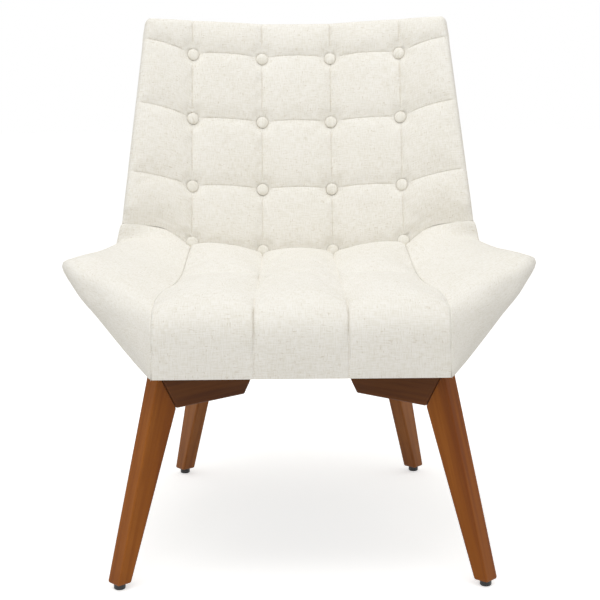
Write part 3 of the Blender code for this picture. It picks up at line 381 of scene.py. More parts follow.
def thicken(thing, thickness):
    """Gives a sheet of cloth its thickness, on the side away from its faces."""
    bm = opened(thing)
    bmesh.ops.solidify(bm, geom=bm.faces[:], thickness=thickness)
    bmesh.ops.recalc_face_normals(bm, faces=bm.faces)
    put_back(thing, bm)


def dress(thing, material, node=None, sharp=50):
    """Gives a piece its finish, hangs it on the root body and hides the solid that it stands for."""
    thing.data.materials.clear()
    thing.data.materials.append(material)
    thing.data.shade_smooth()
    thing.data.set_sharp_from_angle(angle=math.radians(sharp))
    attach(thing, "root")
    if node:
        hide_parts(node)


# Sewn seams: the places beside one lie close together where the cloth folds into it
SEAM_PLACES = (0.0, 0.0009, 0.0020, 0.0042, 0.0070, 0.0094, 0.0113, 0.0145, 0.0195)
SEAM_DEPTH = 0.0019
SEAM_REACH = 0.0020
SEAM_SHARPNESS = 1.3
CLOTH_STEP = 0.0052


def places_between(low, high):
    """Places from one seam to the next."""
    inner_low, inner_high = low + SEAM_PLACES[-1], high - SEAM_PLACES[-1]
    count = spaced(inner_high - inner_low, CLOTH_STEP)
    middle = [blend(inner_low, inner_high, i / count) for i in range(1, count)]
    return [low + d for d in SEAM_PLACES] + middle + [high - d for d in SEAM_PLACES[:0:-1]]


def seam_fold(distance):
    """How deep the cloth folds at this distance from a seam."""
    return SEAM_DEPTH * max(0.0, 1 - distance / SEAM_REACH) ** SEAM_SHARPNESS


# The back pad
ROW_ARCHES = (0.0, 0.0045, 0.0035, 0.0065)
ROW_ARCH_REACH = 0.048
ROW_ARCH_FULLNESS = 0.7
PILLOW_LIFTS = (0.0004, -0.0003, 0.0005, 0.0, 0.0002, -0.0004, 0.0003)
PILLOW_FULLNESS = 0.75
ROW_SEAM_HEIGHT = 0.0062
COLUMN_SEAM_HEIGHT = 0.0045
BUTTON_SINK = 0.0008
PULL_START = 0.0100
PULL_REACH = 0.018
PULL_SHARPNESS = 1.4
POCKET_WALL_START = 0.0095
POCKET_WALL = 0.0022
FOLDS_END = 0.012
LOWEST_FOLD = -0.004
CREST_RISE = 0.011
CREST_LAG = 0.006
TOP_CROWN = 0.0016
TOP_LEDGE_DROP = 0.003
HEM_PLACES = (-BACK_HEM, -0.0105, -0.0082, -0.006, -0.004, -0.0024, -0.0011)
HEM_ROLL = 0.011
OUTER_HEM_ROLL = 0.034
HEM_ROLL_CHANGE = 0.03
PLEAT_STEPS = 17
CREST_STEPS = 5
TOP_STEPS = 12
# The cloth is held this close to a button and to a seam, and where the edge has dropped this much
BUTTON_HOLD = 0.010
SEAM_HOLD = 0.0012
EDGE_HOLD = 0.15
# A hidden underside takes every so many rows and columns of its pad
UNDER_ROWS = 5
UNDER_COLUMNS = 6


def back_columns(edge):
    right = [x for x in places_between(-INNER_COLUMN, INNER_COLUMN) if x > 1e-6]
    right += places_between(INNER_COLUMN, OUTER_COLUMN)
    right += [OUTER_COLUMN + d for d in SEAM_PLACES]
    start, end = right[-1], edge - EDGE_ROUND
    right += [blend(start, end, i / PLEAT_STEPS) for i in range(1, PLEAT_STEPS)]
    right += [end + EDGE_ROUND * math.sin(math.radians(turn)) for turn in range(0, 78, 11)]
    right.append(edge)
    return [-x for x in reversed(right)] + [0.0] + right


def back_rows():
    """(height, half width) of the rows, from the hem up and round the top corner."""
    rows = [*HEM_PLACES]
    for low, high in zip(BUTTON_ROWS, BUTTON_ROWS[1:]):
        rows += places_between(low, high)
    rows += [ROW_ONE + d for d in SEAM_PLACES]
    start = rows[-1]
    rows += [blend(start, CORNER_S, i / CREST_STEPS) for i in range(1, CREST_STEPS)]
    corner = [top_corner(math.radians(turn), half_width(CORNER_S)) for turn in range(0, 91, 10)]
    return [(s, half_width(rim_height(s))) for s in rows] + corner


def button_distance(x, s):
    return min(math.hypot(abs(x) - column, s - row)
               for column in (INNER_COLUMN, OUTER_COLUMN) for row in BUTTON_ROWS)


def column_distance(x):
    return min(abs(abs(x) - column) for column in (INNER_COLUMN, OUTER_COLUMN))


def row_distance(x, s):
    """From the nearest sewn row: past the outer buttons the lowest runs into the crease under the back."""
    return min(abs(s - row) for row in (BUTTON_ROWS if abs(x) <= OUTER_COLUMN else BUTTON_ROWS[1:]))


def row_arch(x, s):
    """Between two buttons the sewn fold across the back arches a little upwards."""
    if abs(x) > OUTER_COLUMN:
        return 0.0
    share, _ = bay_share(x, BUTTON_COLUMNS)
    arch = 0.0
    for row, height in zip(BUTTON_ROWS, ROW_ARCHES):
        arch += height * (1 - smooth(abs(s - row) / ROW_ARCH_REACH))
    return arch * hump(share) ** ROW_ARCH_FULLNESS


def fullness(share):
    return hump(share) ** PILLOW_FULLNESS


def fullness_across(x):
    """How full the cloth is between the columns at x, and in which bay that is."""
    if abs(x) >= OUTER_COLUMN:
        return fullness(min(0.5, (abs(x) - OUTER_COLUMN) / COLUMN_SPACING)), 3
    share, bay = bay_share(x, BUTTON_COLUMNS)
    return fullness(share), bay


def fullness_up(x, s):
    """How full the cloth is between the rows at this place, and in which tier that is."""
    if s >= ROW_ONE:
        return fullness(min(0.5, (s - ROW_ONE) / COLUMN_SPACING)), 3
    if abs(x) > OUTER_COLUMN and s < ROW_THREE:
        return fullness((s + BACK_HEM) / (ROW_THREE + BACK_HEM)), 0
    if s < 0:
        return 0.0, 0
    share, tier = bay_share(s, BUTTON_ROWS)
    return fullness(share), tier


def pillow(x, s):
    """How far the tufted cloth stands out over the plane of the buttons."""
    across, bay = fullness_across(x)
    up, tier = fullness_up(x, s)
    full = ROW_SEAM_HEIGHT * across * (1 - up) + COLUMN_SEAM_HEIGHT * up * (1 - across)
    full += (PILLOW_HEIGHT + PILLOW_LIFTS[(bay * 2 + tier * 3) % len(PILLOW_LIFTS)]) * across * up
    fold = 0.0
    if abs(x) < half_width(s) - FOLDS_END:
        fold = seam_fold(column_distance(x))
        if s > LOWEST_FOLD:
            fold = max(fold, seam_fold(row_distance(x, s)))
    near = button_distance(x, s)
    pull = (1 - smooth((near - PULL_START) / PULL_REACH)) ** PULL_SHARPNESS
    out = blend(full - fold, -BUTTON_SINK, pull)
    out -= (POCKET_DEPTH - BUTTON_SINK) * (1 - smooth((near - POCKET_WALL_START) / POCKET_WALL))
    roll = blend(HEM_ROLL, OUTER_HEM_ROLL, smooth((abs(x) - OUTER_COLUMN) / HEM_ROLL_CHANGE))
    return blend(-HEM_DROP, out, clamp((s + BACK_HEM) / roll))


def crest_rise(share, s):
    """How far the top edge is crowned, at this share of the half width and this height."""
    return CREST_RISE * (1 - share ** 4) * smooth((s - ROW_ONE - CREST_LAG) / (CORNER_S - ROW_ONE))


def back_front_row(s, edge):
    """A row of the back's front from ledge to ledge, and which of its points are held."""
    points = []
    held = []
    for x in back_columns(edge):
        drop = edge_drop(min(edge - abs(x), BACK_HEIGHT - s))
        lift = row_arch(x, s) + crest_rise(abs(x) / edge, s)
        points.append(back_point(x, raised(x, s, edge) + lift, blend(pillow(x, s), -EDGE_DROP, drop)))
        sewn = button_distance(x, s) < BUTTON_HOLD or min(column_distance(x), row_distance(x, s)) < SEAM_HOLD
        held.append(sewn or drop > EDGE_HOLD or s < 0.0)
    ledge_x = edge - LEDGE
    ledge_d = sag(edge) - sag(ledge_x) - EDGE_DROP
    left, right = (back_point(x, rim_height(s), ledge_d) for x in (-ledge_x, ledge_x))
    return [left, *points, right], [True, *held, True]


def back_hidden_row(s, edge):
    drop = TOP_FOAM * clamp((s - ROW_ONE) / (BACK_HEIGHT - ROW_ONE))
    places = [x * (edge - LEDGE) / edge for x in back_columns(edge)[::UNDER_COLUMNS]]
    return [back_point(x, raised(x, s, edge) - drop, -BACK_FOAM) for x in places]


TOP_HALF = top_corner(math.pi / 2, half_width(CORNER_S))[1]
TOP_REAR_SCALE = (rear_half_width(CORNER_S) - BACK_CORNER_RADIUS - GAP) / TOP_HALF
TOP_REAR_D = GAP - back_depth(BACK_HEIGHT)


def back_top_row(share):
    """A row over the top, at this share of the way from the front edge to the rear one."""
    d = blend(-EDGE_DROP, TOP_REAR_D, share)
    scale = blend(1.0, TOP_REAR_SCALE, share)
    crown = TOP_CROWN * hump(share)
    points = [back_point(x * scale, BACK_HEIGHT + crown + crest_rise(abs(x) / TOP_HALF, BACK_HEIGHT), d)
              for x in back_columns(TOP_HALF)]
    left, right = (back_point(side * (TOP_HALF - LEDGE) * scale, BACK_HEIGHT - TOP_LEDGE_DROP, d)
                   for _, side in SIDES)
    return [left, *points, right]


def make_back_pad():
    rows = []
    held = []
    for s, edge in back_rows():
        points, kept = back_front_row(s, edge)
        rows.append(points)
        held += kept
    rows += [back_top_row(step / TOP_STEPS) for step in range(1, TOP_STEPS + 1)]
    held += [True] * (TOP_STEPS * len(rows[0]))
    pad = cloth_grid("back_pad_cloth", rows)
    inflate(pad, [place for place, kept in enumerate(held) if kept], pressure=2.0, cap=0.0045, slack=0.008)
    under = [back_hidden_row(s, edge) for s, edge in coarse(back_rows(), UNDER_ROWS)]
    middle_d = blend(TOP_REAR_D, -BACK_FOAM, 0.5)
    under.append([back_point(x * TOP_REAR_SCALE, BACK_HEIGHT - TOP_FOAM, middle_d)
                  for x in back_columns(TOP_HALF)[::UNDER_COLUMNS]])
    close_pad(pad, under)
    return pad


# The seat pad: its stations run from the front hem to the crease and behind it
STATION_ROWS = (3, 3, 3, 4, 5, 6, 10, 12, 12, 13, 14, 14, 11, 7, 3)
SEAT_SCOOP_SHARE = 0.55
SEAT_OUTER_CHANNEL = 0.2085
SEAT_INNER_CHANNEL = 0.0660
SEAT_FOLD_SHARE = 0.6
# The outer channels fade out over the seat's lip
CHANNEL_FADE = (1.0, 1.0, 1.0, 1.0, 1.0, 0.8, 0.15, 0.1, 0.7, 1.0, 1.0, 1.0, 1.0, 1.0)
# Places across one channel, as shares of its width
CHANNEL_SHARES = [place / COLUMN_SPACING for place in places_between(0, COLUMN_SPACING)] + [1.0]
SEAT_FRONT_HELD = 4
SEAT_REAR_HELD = 11
# The hidden underside lies this far inside the top
SEAT_UNDER_NARROWING = 0.94
SEAT_UNDER_FRONT_Y = SEAT_FRONT_Y + 0.036
SEAT_UNDER_REAR_Y = 0.19
SEAT_UNDER_DEPTH = 0.06


def crease_point(x, d=-HEM_DROP):
    return back_point(x, raised(x, -BACK_HEM, HEM_HALF) - GAP, d)


def seat_point(i, x):
    """A place on the seat without its crown, at station i."""
    if i >= CREASE:
        return crease_point(x, -HEM_DROP if i == CREASE else -BACK_FOAM)
    share = SEAT_DEPTH_SHARES[i]
    crease = crease_point(x)
    lift = (crease.z - crease_point(0).z) * smooth((share - SEAT_SCOOP_SHARE) / (1 - SEAT_SCOOP_SHARE))
    y = blend(SEAT_FRONT_Y + FRAME_SHIFT, crease.y, share)
    return Vector((x, y, blend(FRAME_BOTTOM_Z, SEAT_TOP_Z, SEAT_RISE_SHARES[i]) + lift))


def channels(i):
    """Half the distance between the outer channels and between the inner ones."""
    if i >= CREASE:
        return OUTER_COLUMN, INNER_COLUMN
    outer = blend(OUTER_COLUMN, SEAT_OUTER_CHANNEL, OUTER_CHANNEL_SHARES[i])
    return outer, blend(INNER_COLUMN, SEAT_INNER_CHANNEL, INNER_CHANNEL_SHARES[i])


def seat_row(i):
    """Across the seat from one outer channel to the other, crowned and folded between channels."""
    if i >= CREASE:
        crown, depth = 0.0, 0.0
    else:
        crown, depth = SEAT_CROWN * SEAT_CROWN_SHARES[i], SEAT_FOLD_SHARE
    outer, inner = channels(i)
    lines = (-outer, -inner, inner, outer)
    row = []
    for low, high in zip(lines, lines[1:]):
        for share in CHANNEL_SHARES if high == outer else CHANNEL_SHARES[:-1]:
            x = blend(low, high, share)
            rise = seat_point(min(i + 1, CREASE), x) - seat_point(max(i - 1, 0), x)
            normal = Vector((0, -rise.z, rise.y)).normalized()
            fold = seam_fold(min(share, 1 - share) * (high - low)) * depth
            if abs(x) > blend(inner, outer, 0.5) and i < CREASE:
                fold *= CHANNEL_FADE[i]
            row.append(seat_point(i, x) + normal * (crown * math.sqrt(hump(share)) - fold))
    return row


def seat_hidden_point(over):
    y = min(max(over.y, SEAT_UNDER_FRONT_Y), SEAT_UNDER_REAR_Y)
    return Vector((over.x * SEAT_UNDER_NARROWING, y, max(FRAME_BOTTOM_Z, over.z - SEAT_UNDER_DEPTH)))


def make_seat_pad():
    cage = [seat_row(i) for i in range(CREASE + 2)]
    rows = finer_rows(cage, STATION_ROWS)
    pad = cloth_grid("seat_pad_cloth", rows)
    held = held_points(len(rows[0]), len(rows), SEAT_FRONT_HELD, SEAT_REAR_HELD,
                       lambda column: column % (len(CHANNEL_SHARES) - 1) == 0)
    inflate(pad, held, pressure=2.0, cap=0.007, slack=0.01)
    close_pad(pad, [[seat_hidden_point(p) for p in coarse(row, UNDER_COLUMNS)] for row in cage[2:]])
    return pad


# The wings
RIM_FRONT = Vector((0.2125, -0.3758 + FRAME_SHIFT, FRAME_BOTTOM_Z + 0.0022))
RIM_TIP = Vector((0.3605, -0.116 + FRAME_SHIFT, 0.4265))
RIM_REAR = Vector((0.3105, 0.0885 + FRAME_SHIFT, 0.4310))
RIM_CREASE = back_point(HEM_HALF, HEM_EDGE_S - GAP, -EDGE_DROP)
KEEL_FRONT = Vector((0.2090, -0.3750 + FRAME_SHIFT, FRAME_BOTTOM_Z))
KEEL_TIP = Vector((0.2065, -0.130 + FRAME_SHIFT, FRAME_BOTTOM_Z))
KEEL_REAR = Vector((0.1985, 0.112 + FRAME_SHIFT, FRAME_BOTTOM_Z))
WING_BULGE = 0.010
FRONT_RIM_SWELL = Vector((0.0024, 0.0, -0.0030))
WING_NOSE = 0.0125
WING_NOSE_REACH = 0.020
# Half way round the nose: this share of its reach in from the rim and of its height
NOSE_ROUND_IN = 0.293
NOSE_ROUND_UP = 0.707
NOSE_SHARES = (1.0, 0.55, 0.55, 0.78, 1.4, 1.7, 1.65, 1.55, 1.4, 1.2, 1.05, 1.0, 1.0, 1.0)
# Near the back the wings climb to the arched crease
WING_CLIMB_SHARES = (0.0,) * 10 + (0.03, 0.1, 0.28, 0.55)
WING_SEAM_PLACES = (0.0011, 0.0032)
WING_TOP_SHARES = (0.12, 0.32, 0.66)
WING_COLUMN_STEPS = (1, 1, 3, 6, 10, 8, 4, 3, 1)
WING_TUCK_SHARES = (0.0, 0.01, 0.03, 0.12, 0.32, 0.66, 0.86, 0.95, 1.0)
WING_TUCK_NARROWING = 0.006
WING_SEAM_HELD = 2
WING_RIM_HELD = 5
WING_FRONT_HELD = 5
WING_REAR_HELD = 11
WING_UNDER_X = 0.19
WING_UNDER_Y_SHARE = 0.6
WING_UNDER_SHARE = 0.16
WING_UNDER_COLUMNS = 4


def at_station(i, front, tip, rear):
    if i <= TIP_STATION:
        return front.lerp(tip, RIM_SHARES[i])
    return tip.lerp(rear, RIM_SHARES[i])


def rim(i):
    """The wing's upper edge at station i."""
    if i >= CREASE:
        return RIM_CREASE.copy()
    swell = FRONT_RIM_SWELL * hump(RIM_SHARES[i]) if i < TIP_STATION else Vector()
    return at_station(i, RIM_FRONT, RIM_TIP, RIM_REAR) + swell


def keel(i):
    """The lower edge of the slanted side at station i."""
    return KEEL_REAR if i >= CREASE else at_station(i, KEEL_FRONT, KEEL_TIP, KEEL_REAR)


def side_inward(i):
    """Square to the slanted side at a station, into the wing."""
    down = (keel(i) - rim(i)).normalized()
    low, high = max(i - 1, 0), min(i + 1, CREASE - 1)
    onward = rim(high) - rim(low) + keel(high) - keel(low)
    inward = down.cross(onward).normalized()
    return -inward if inward.x > 0 else inward


def wing_row(i):
    """Across the wing from its channel over the rolled nose to the rim and the ledge."""
    start, end = seat_point(i, channels(i)[0]) + Vector((GAP, 0, 0)), rim(i)
    inward = start - end
    wide = inward.length
    reach = min(WING_NOSE_REACH, wide / 3)
    inward.normalize()
    onward = rim(min(i + 1, CREASE - 1)) - rim(max(i - 1, 0))
    normal = inward.cross(onward).normalized()
    if normal.dot(Vector((0, -1, 2))) < 0:
        normal = -normal
    scale = reach / WING_NOSE_REACH
    height = WING_NOSE * scale * NOSE_SHARES[i]
    nose = end + inward * reach + normal * height
    middle = (start + nose) / 2 + normal * WING_BULGE * scale
    row = [start - normal * SEAM_DEPTH * SEAT_FOLD_SHARE * CHANNEL_FADE[i]]
    for share in (*(place / wide * scale for place in WING_SEAM_PLACES), *WING_TOP_SHARES):
        climb = pleat_rise(-BACK_HEM) * (pleat_climb(share, 0) - share) * WING_CLIMB_SHARES[i]
        row.append(start.lerp(middle, share).lerp(middle.lerp(nose, share), share) + Vector((0, 0, climb)))
    round_nose = end + inward * reach * NOSE_ROUND_IN + normal * height * NOSE_ROUND_UP
    return [*row, nose, round_nose, end, end + side_inward(i) * LEDGE]


def wing_crease_row():
    """The row in the crease under the back."""
    row = []
    for share in WING_TUCK_SHARES:
        x = blend(OUTER_COLUMN, HEM_HALF, share)
        row.append(crease_point(x, blend(-HEM_DROP, -EDGE_DROP, edge_drop(HEM_HALF - x))))
    return [*row, crease_point(HEM_HALF - LEDGE, -EDGE_DROP)]


def wing_tucked_row():
    """The last row, behind the back's lower edge."""
    edge = HEM_HALF - WING_TUCK_NARROWING
    places = [blend(OUTER_COLUMN, edge, share) for share in WING_TUCK_SHARES]
    return [crease_point(x, -BACK_FOAM) for x in (*places, edge - LEDGE)]


def mirrored(rows, side):
    return [[Vector((p.x * side, p.y, p.z)) for p in row] for row in rows]


def make_wing_pads():
    cage = [wing_row(i) for i in range(CREASE)] + [wing_crease_row(), wing_tucked_row()]
    rows = finer(cage, STATION_ROWS, WING_COLUMN_STEPS)
    across = len(rows[0])
    seam_and_rim = {*range(WING_SEAM_HELD), *range(across - WING_RIM_HELD, across)}
    made = []
    for name, side in SIDES:
        wing = mirrored([row if side > 0 else row[::-1] for row in rows], side)
        pad = cloth_grid("wing_pad_cloth_" + name, wing)
        held = held_points(across, len(rows), WING_FRONT_HELD, WING_REAR_HELD,
                           lambda column: (column if side > 0 else across - 1 - column) in seam_and_rim)
        inflate(pad, held, pressure=0.6, cap=0.002)
        under = []
        for row in coarse(wing, UNDER_COLUMNS):
            line = coarse(row, WING_UNDER_COLUMNS)
            below = [Vector((side * WING_UNDER_X, p.y * WING_UNDER_Y_SHARE, FLOOR_Z)) for p in line]
            under.append([p.lerp(low, WING_UNDER_SHARE) for p, low in zip(line, below)])
        close_pad(pad, under)
        made.append(pad)
    return made


# The outside: cloth stretched over the sides and the rear
CHAIR_MIDDLE = Vector((0, FRAME_SHIFT, SEAT_TOP_Z))
SIDE_HEIGHT_SHARES = (0.12, 0.3, 0.5, 0.7, 0.85, 1.0)
FAN_REAR_SHARES = (0.2, 0.4, 0.6, 0.8, 1.0)
SIDE_CORNER_TURNS = (30, 60, 88)
SIDE_SWELL = 0.0008
SIDE_SWELL_LENGTH = 0.1
# (share of the way down, share of the swell)
SIDE_SWELLS = ((0.3, 0.8), (0.6, 1.0), (0.9, 0.4))
SIDE_STEP = 0.006
SIDE_COLUMN_STEPS = (11, 10, 10, 4)


def outside_point(s):
    """The rear edge of the side at this height."""
    return back_point(rear_half_width(s), s, -back_depth(s))


def side_lines():
    """Down the right side: pairs of a place on the rim and one on the keel or the rear edge."""
    pairs = [(rim(i), keel(i)) for i in range(0, CREASE)]
    corner = outside_point(REAR_CORNER_S)
    lows = [KEEL_REAR.lerp(corner, share) for share in (0.5, 1.0)]
    lows += [outside_point(blend(REAR_CORNER_S, HEM_EDGE_S, share)) for share in FAN_REAR_SHARES]
    for place, low in enumerate(lows, 1):
        pairs.append((RIM_REAR.lerp(RIM_CREASE, place / len(lows)), low))
    for share in SIDE_HEIGHT_SHARES:
        s = blend(HEM_EDGE_S, CORNER_S, share)
        pairs.append((back_point(half_width(s), s, -EDGE_DROP), outside_point(s)))
    for turn in SIDE_CORNER_TURNS:
        s, front = top_corner(math.radians(turn), half_width(CORNER_S))
        rear = top_corner(math.radians(turn), rear_half_width(CORNER_S))[1]
        pairs.append((back_point(front, s, -EDGE_DROP), back_point(rear, s, -back_depth(s))))
    return pairs


def make_side_covers():
    pairs = side_lines()
    cage = []
    for i, (high, low) in enumerate(pairs):
        before, after = pairs[max(i - 1, 0)], pairs[min(i + 1, len(pairs) - 1)]
        inward = (low - high).cross(after[0] + after[1] - before[0] - before[1]).normalized()
        if inward.dot(CHAIR_MIDDLE - high) < 0:
            inward = -inward
        high = high + (low - high).normalized() * 3 * GAP
        swell = SIDE_SWELL * min(1.0, (low - high).length / SIDE_SWELL_LENGTH)
        middle = [high.lerp(low, share) - inward * swell * part for share, part in SIDE_SWELLS]
        cage.append([high, *middle, low])
    steps = steps_along([(high + low) / 2 for high, low in pairs], SIDE_STEP)
    rows = finer(cage, steps, SIDE_COLUMN_STEPS)
    made = []
    for name, side in SIDES:
        cover = cloth_grid("side_cover_cloth_" + name, mirrored(rows, side))
        face_towards(cover, Vector((side, 0, -0.5)))
        thicken(cover, COVER - GAP)
        made.append(cover)
    return made


REAR_CORNER_TURNS = (30, 60, 86)
REAR_COLUMNS = 24
REAR_SWELL = 0.004
REAR_FULLNESS = 0.6
REAR_ENDS = (0.02, 0.98)
REAR_STEP = 0.007
REAR_TOP_S = BACK_HEIGHT - GAP


def rear_levels():
    """(height, half width) of the rear cloth's rows, from the frame's bottom to the top edge."""
    levels = [blend(REAR_CORNER_S, HEM_EDGE_S, share) for share in (0.0, *FAN_REAR_SHARES)]
    levels += [blend(HEM_EDGE_S, CORNER_S, share) for share in SIDE_HEIGHT_SHARES]
    pairs = [(level, rear_half_width(level) - COVER) for level in levels]
    widest = pairs[-1][1]
    for turn in REAR_CORNER_TURNS:
        level, half = top_corner(math.radians(turn), widest)
        pairs.append((min(level, REAR_TOP_S), half))
    return pairs


def make_outer_back():
    pairs = rear_levels()
    foot_half = pairs[0][1]
    cage = []
    for level, half in pairs:
        share = (level - REAR_CORNER_S) / (REAR_TOP_S - REAR_CORNER_S)
        row = []
        for place in range(-REAR_COLUMNS, REAR_COLUMNS + 1):
            across = place / REAR_COLUMNS
            x = half * across
            s = level + (outside_foot(foot_half * across) - outside_foot(foot_half)) * (1 - share)
            s += crest_rise(abs(across), level)
            swell = REAR_SWELL * hump((across + 1) / 2) ** REAR_FULLNESS
            swell *= hump(blend(*REAR_ENDS, share)) ** REAR_FULLNESS
            row.append(back_point(x, s, -back_depth(s) - swell))
        cage.append(row)
    rows = finer_rows(cage, steps_along([row[REAR_COLUMNS] for row in cage], REAR_STEP))
    cover = cloth_grid("outer_back_cloth", rows)
    face_towards(cover, Vector((0, 1, 0)))
    thicken(cover, COVER)
    return cover


# The black cloth under the seat
DUST_INSET = 0.003
DUST_THICKNESS = 0.0004
DUST_SAG = 0.0007
DUST_CREASES = 0.0003
DUST_REAR_Y = KEEL_REAR.y + 0.1
DUST_EDGE = ((KEEL_FRONT.y, KEEL_FRONT.x), (KEEL_TIP.y, KEEL_TIP.x), (KEEL_REAR.y, KEEL_REAR.x),
             (DUST_REAR_Y, REAR_CORNER_X))
DUST_COLUMNS = 36
DUST_ROWS = 84
STAPLE = (0.0100, 0.0011, 0.0007)
STAPLE_ROUND = 0.0002
STAPLES_ACROSS = 4
STAPLES_ALONG = 8
STAPLE_INSET_SHARE = 0.955
STAPLE_ENDS = (0.018, 0.984)


def dust_point(across, share):
    """A place on the cloth: across from -1 to 1, share from front to rear."""
    reach = blend(KEEL_FRONT.y, DUST_REAR_Y, share)
    half = REAR_CORNER_X
    for (y, x), (next_y, next_x) in zip(DUST_EDGE, DUST_EDGE[1:]):
        if y <= reach <= next_y:
            half = blend(x, next_x, (reach - y) / (next_y - y))
    x = across * (half - DUST_INSET)
    foot = outside_foot(abs(across) * REAR_CORNER_X)
    rear = back_point(across * REAR_CORNER_X, foot, -back_depth(foot)).y - DUST_INSET
    y = blend(KEEL_FRONT.y + DUST_INSET, rear, share)
    loose = (1 - across ** 2) * hump(share)
    crease = noise.noise(Vector((x * 26, y * 26, 0.0))) + 0.5 * noise.noise(Vector((x * 90, y * 60, 4.0)))
    return Vector((x, y, FRAME_BOTTOM_Z - GAP - (DUST_SAG + DUST_CREASES * crease) * loose))


def make_dust_cloth():
    columns = [place / DUST_COLUMNS for place in range(-DUST_COLUMNS, DUST_COLUMNS + 1)]
    rows = [[dust_point(across, step / DUST_ROWS) for across in columns] for step in range(DUST_ROWS + 1)]
    cloth = cloth_grid("dust_cloth", rows)
    face_towards(cloth, Vector((0, 0, 1)))
    area = sum(face.area for face in cloth.data.polygons)
    thicken(cloth, DUST_THICKNESS)
    return cloth, area


def make_staples():
    """Wire staples round the edge of the dust cloth, each lying along its edge."""
    places = [(place / STAPLES_ACROSS, share, 0.0) for share in (0.0, 1.0)
              for place in range(-STAPLES_ACROSS, STAPLES_ACROSS + 1)]
    places += [(side, place / STAPLES_ALONG, math.pi / 2) for side in (-1, 1)
               for place in range(1, STAPLES_ALONG)]
    lift = Vector((0, 0, -DUST_THICKNESS - STAPLE[2] / 2))
    bm = bmesh.new()
    for across, share, turn in places:
        spot = dust_point(across * STAPLE_INSET_SHARE, blend(*STAPLE_ENDS, share)) + lift
        made = bmesh.ops.create_cube(bm, size=1.0)["verts"]
        place = Matrix.Translation(spot) @ Matrix.Rotation(turn, 4, "Z") @ Matrix.Diagonal((*STAPLE, 1))
        bmesh.ops.transform(bm, matrix=place, verts=made)
    bmesh.ops.bevel(bm, geom=bm.edges[:], offset=STAPLE_ROUND, offset_type="OFFSET", segments=2, profile=0.5,
                    affect="EDGES", material=-1)
    return add_object("dust_cloth_staples", bm)


# The covered buttons
BUTTON_RADIUS = 0.01025
BUTTON_TOP = 0.0078
BUTTON_WIDEST_AT = 0.0032
BUTTON_UNDERSIDE = ((0.975, 0.0009), (0.88, 0.0016))
BUTTON_FOOT = 0.006
DOME_STEPS = 10
SPIN_STEPS = 40


def button_profile():
    """(radius, height) from the top of the domed cloth, round its edge and in under it."""
    profile = [(0, BUTTON_TOP)]
    for step in range(1, DOME_STEPS + 1):
        turn = math.pi / 2 * step / DOME_STEPS
        height = BUTTON_WIDEST_AT + (BUTTON_TOP - BUTTON_WIDEST_AT) * math.cos(turn) ** 0.8
        profile.append((BUTTON_RADIUS * math.sin(turn) ** 0.94, height))
    profile += [(BUTTON_RADIUS * share, BUTTON_WIDEST_AT - drop) for share, drop in BUTTON_UNDERSIDE]
    return [*profile, (BUTTON_FOOT, 0.0), (0, 0.0)]


def spun(name, profile, place, outward):
    """A turned shape about its own axis, set at its place with the axis pointing outward."""
    bm = bmesh.new()
    verts = [bm.verts.new((radius, 0, height)) for radius, height in profile]
    edges = [bm.edges.new(pair) for pair in zip(verts, verts[1:])]
    bmesh.ops.spin(bm, geom=verts + edges, axis=(0, 0, 1), cent=(0, 0, 0), angle=math.tau, steps=SPIN_STEPS,
                   use_merge=True, use_duplicate=False)
    bmesh.ops.remove_doubles(bm, verts=bm.verts, dist=0.00001)
    bmesh.ops.recalc_face_normals(bm, faces=bm.faces)
    turn = outward.to_track_quat("Z", "Y").to_matrix().to_4x4()
    bmesh.ops.transform(bm, matrix=Matrix.Translation(place) @ turn, verts=bm.verts)
    return add_object(name, bm)


def make_buttons():
    """Pairs of a button and the solid that it stands for, square to the cushion."""
    made = []
    for row, s in enumerate(reversed(BUTTON_ROWS), 1):
        for column, x in enumerate(BUTTON_COLUMNS, 1):
            place = back_point(x, raised(x, s, half_width(s)), GAP - POCKET_DEPTH)
            lean = math.asin(x / BACK_CURVE_RADIUS)
            level = math.cos(lean)
            outward = Vector((-math.sin(lean), -level * math.cos(RECLINE), level * math.sin(RECLINE)))
            node = f"button_r{row}_c{column}"
            made.append((spun("covered_" + node, button_profile(), place, outward), node))
    return made


# Materials

THREAD_SPACING = 0.00105
THREAD_WAVER = 0.0008
FLECK_COLOUR = (0.42, 0.33, 0.2)


def new_group(name, place, *colours):
    """A node group that takes a place and colours, and puts out a colour, a roughness and a height."""
    tree = bpy.data.node_groups.new(name, "ShaderNodeTree")
    sockets = [(place, "INPUT", "NodeSocketVector")]
    sockets += [(colour, "INPUT", "NodeSocketColor") for colour in colours]
    sockets += [("Colour", "OUTPUT", "NodeSocketColor"), ("Roughness", "OUTPUT", "NodeSocketFloat"),
                ("Height", "OUTPUT", "NodeSocketFloat")]
    for socket, way, kind in sockets:
        tree.interface.new_socket(name=socket, in_out=way, socket_type=kind)
    return tree, tree.nodes.new("NodeGroupInput"), tree.nodes.new("NodeGroupOutput")


def give(tree, value, socket):
    if isinstance(value, bpy.types.NodeSocket):
        tree.links.new(value, socket)
    else:
        socket.default_value = value


def maths(tree, operation, *values):
    made = tree.nodes.new("ShaderNodeMath")
    made.operation = operation
    for place, value in enumerate(values):
        give(tree, value, made.inputs[place])
    return made.outputs[0]


def ranged(tree, value, low, high, to_low=0.0, to_high=1.0):
    made = tree.nodes.new("ShaderNodeMapRange")
    made.interpolation_type = "SMOOTHSTEP"
    sockets = ("Value", "From Min", "From Max", "To Min", "To Max")
    for socket, number in zip(sockets, (value, low, high, to_low, to_high)):
        give(tree, number, made.inputs[socket])
    return made.outputs["Result"]


def mixed(tree, factor, a, b):
    """Two colours mixed: the node's colour sockets are the seventh and eighth."""
    made = tree.nodes.new("ShaderNodeMix")
    made.data_type = "RGBA"
    for place, value in ((0, factor), (6, a), (7, b)):
        give(tree, value, made.inputs[place])
    return made.outputs[2]


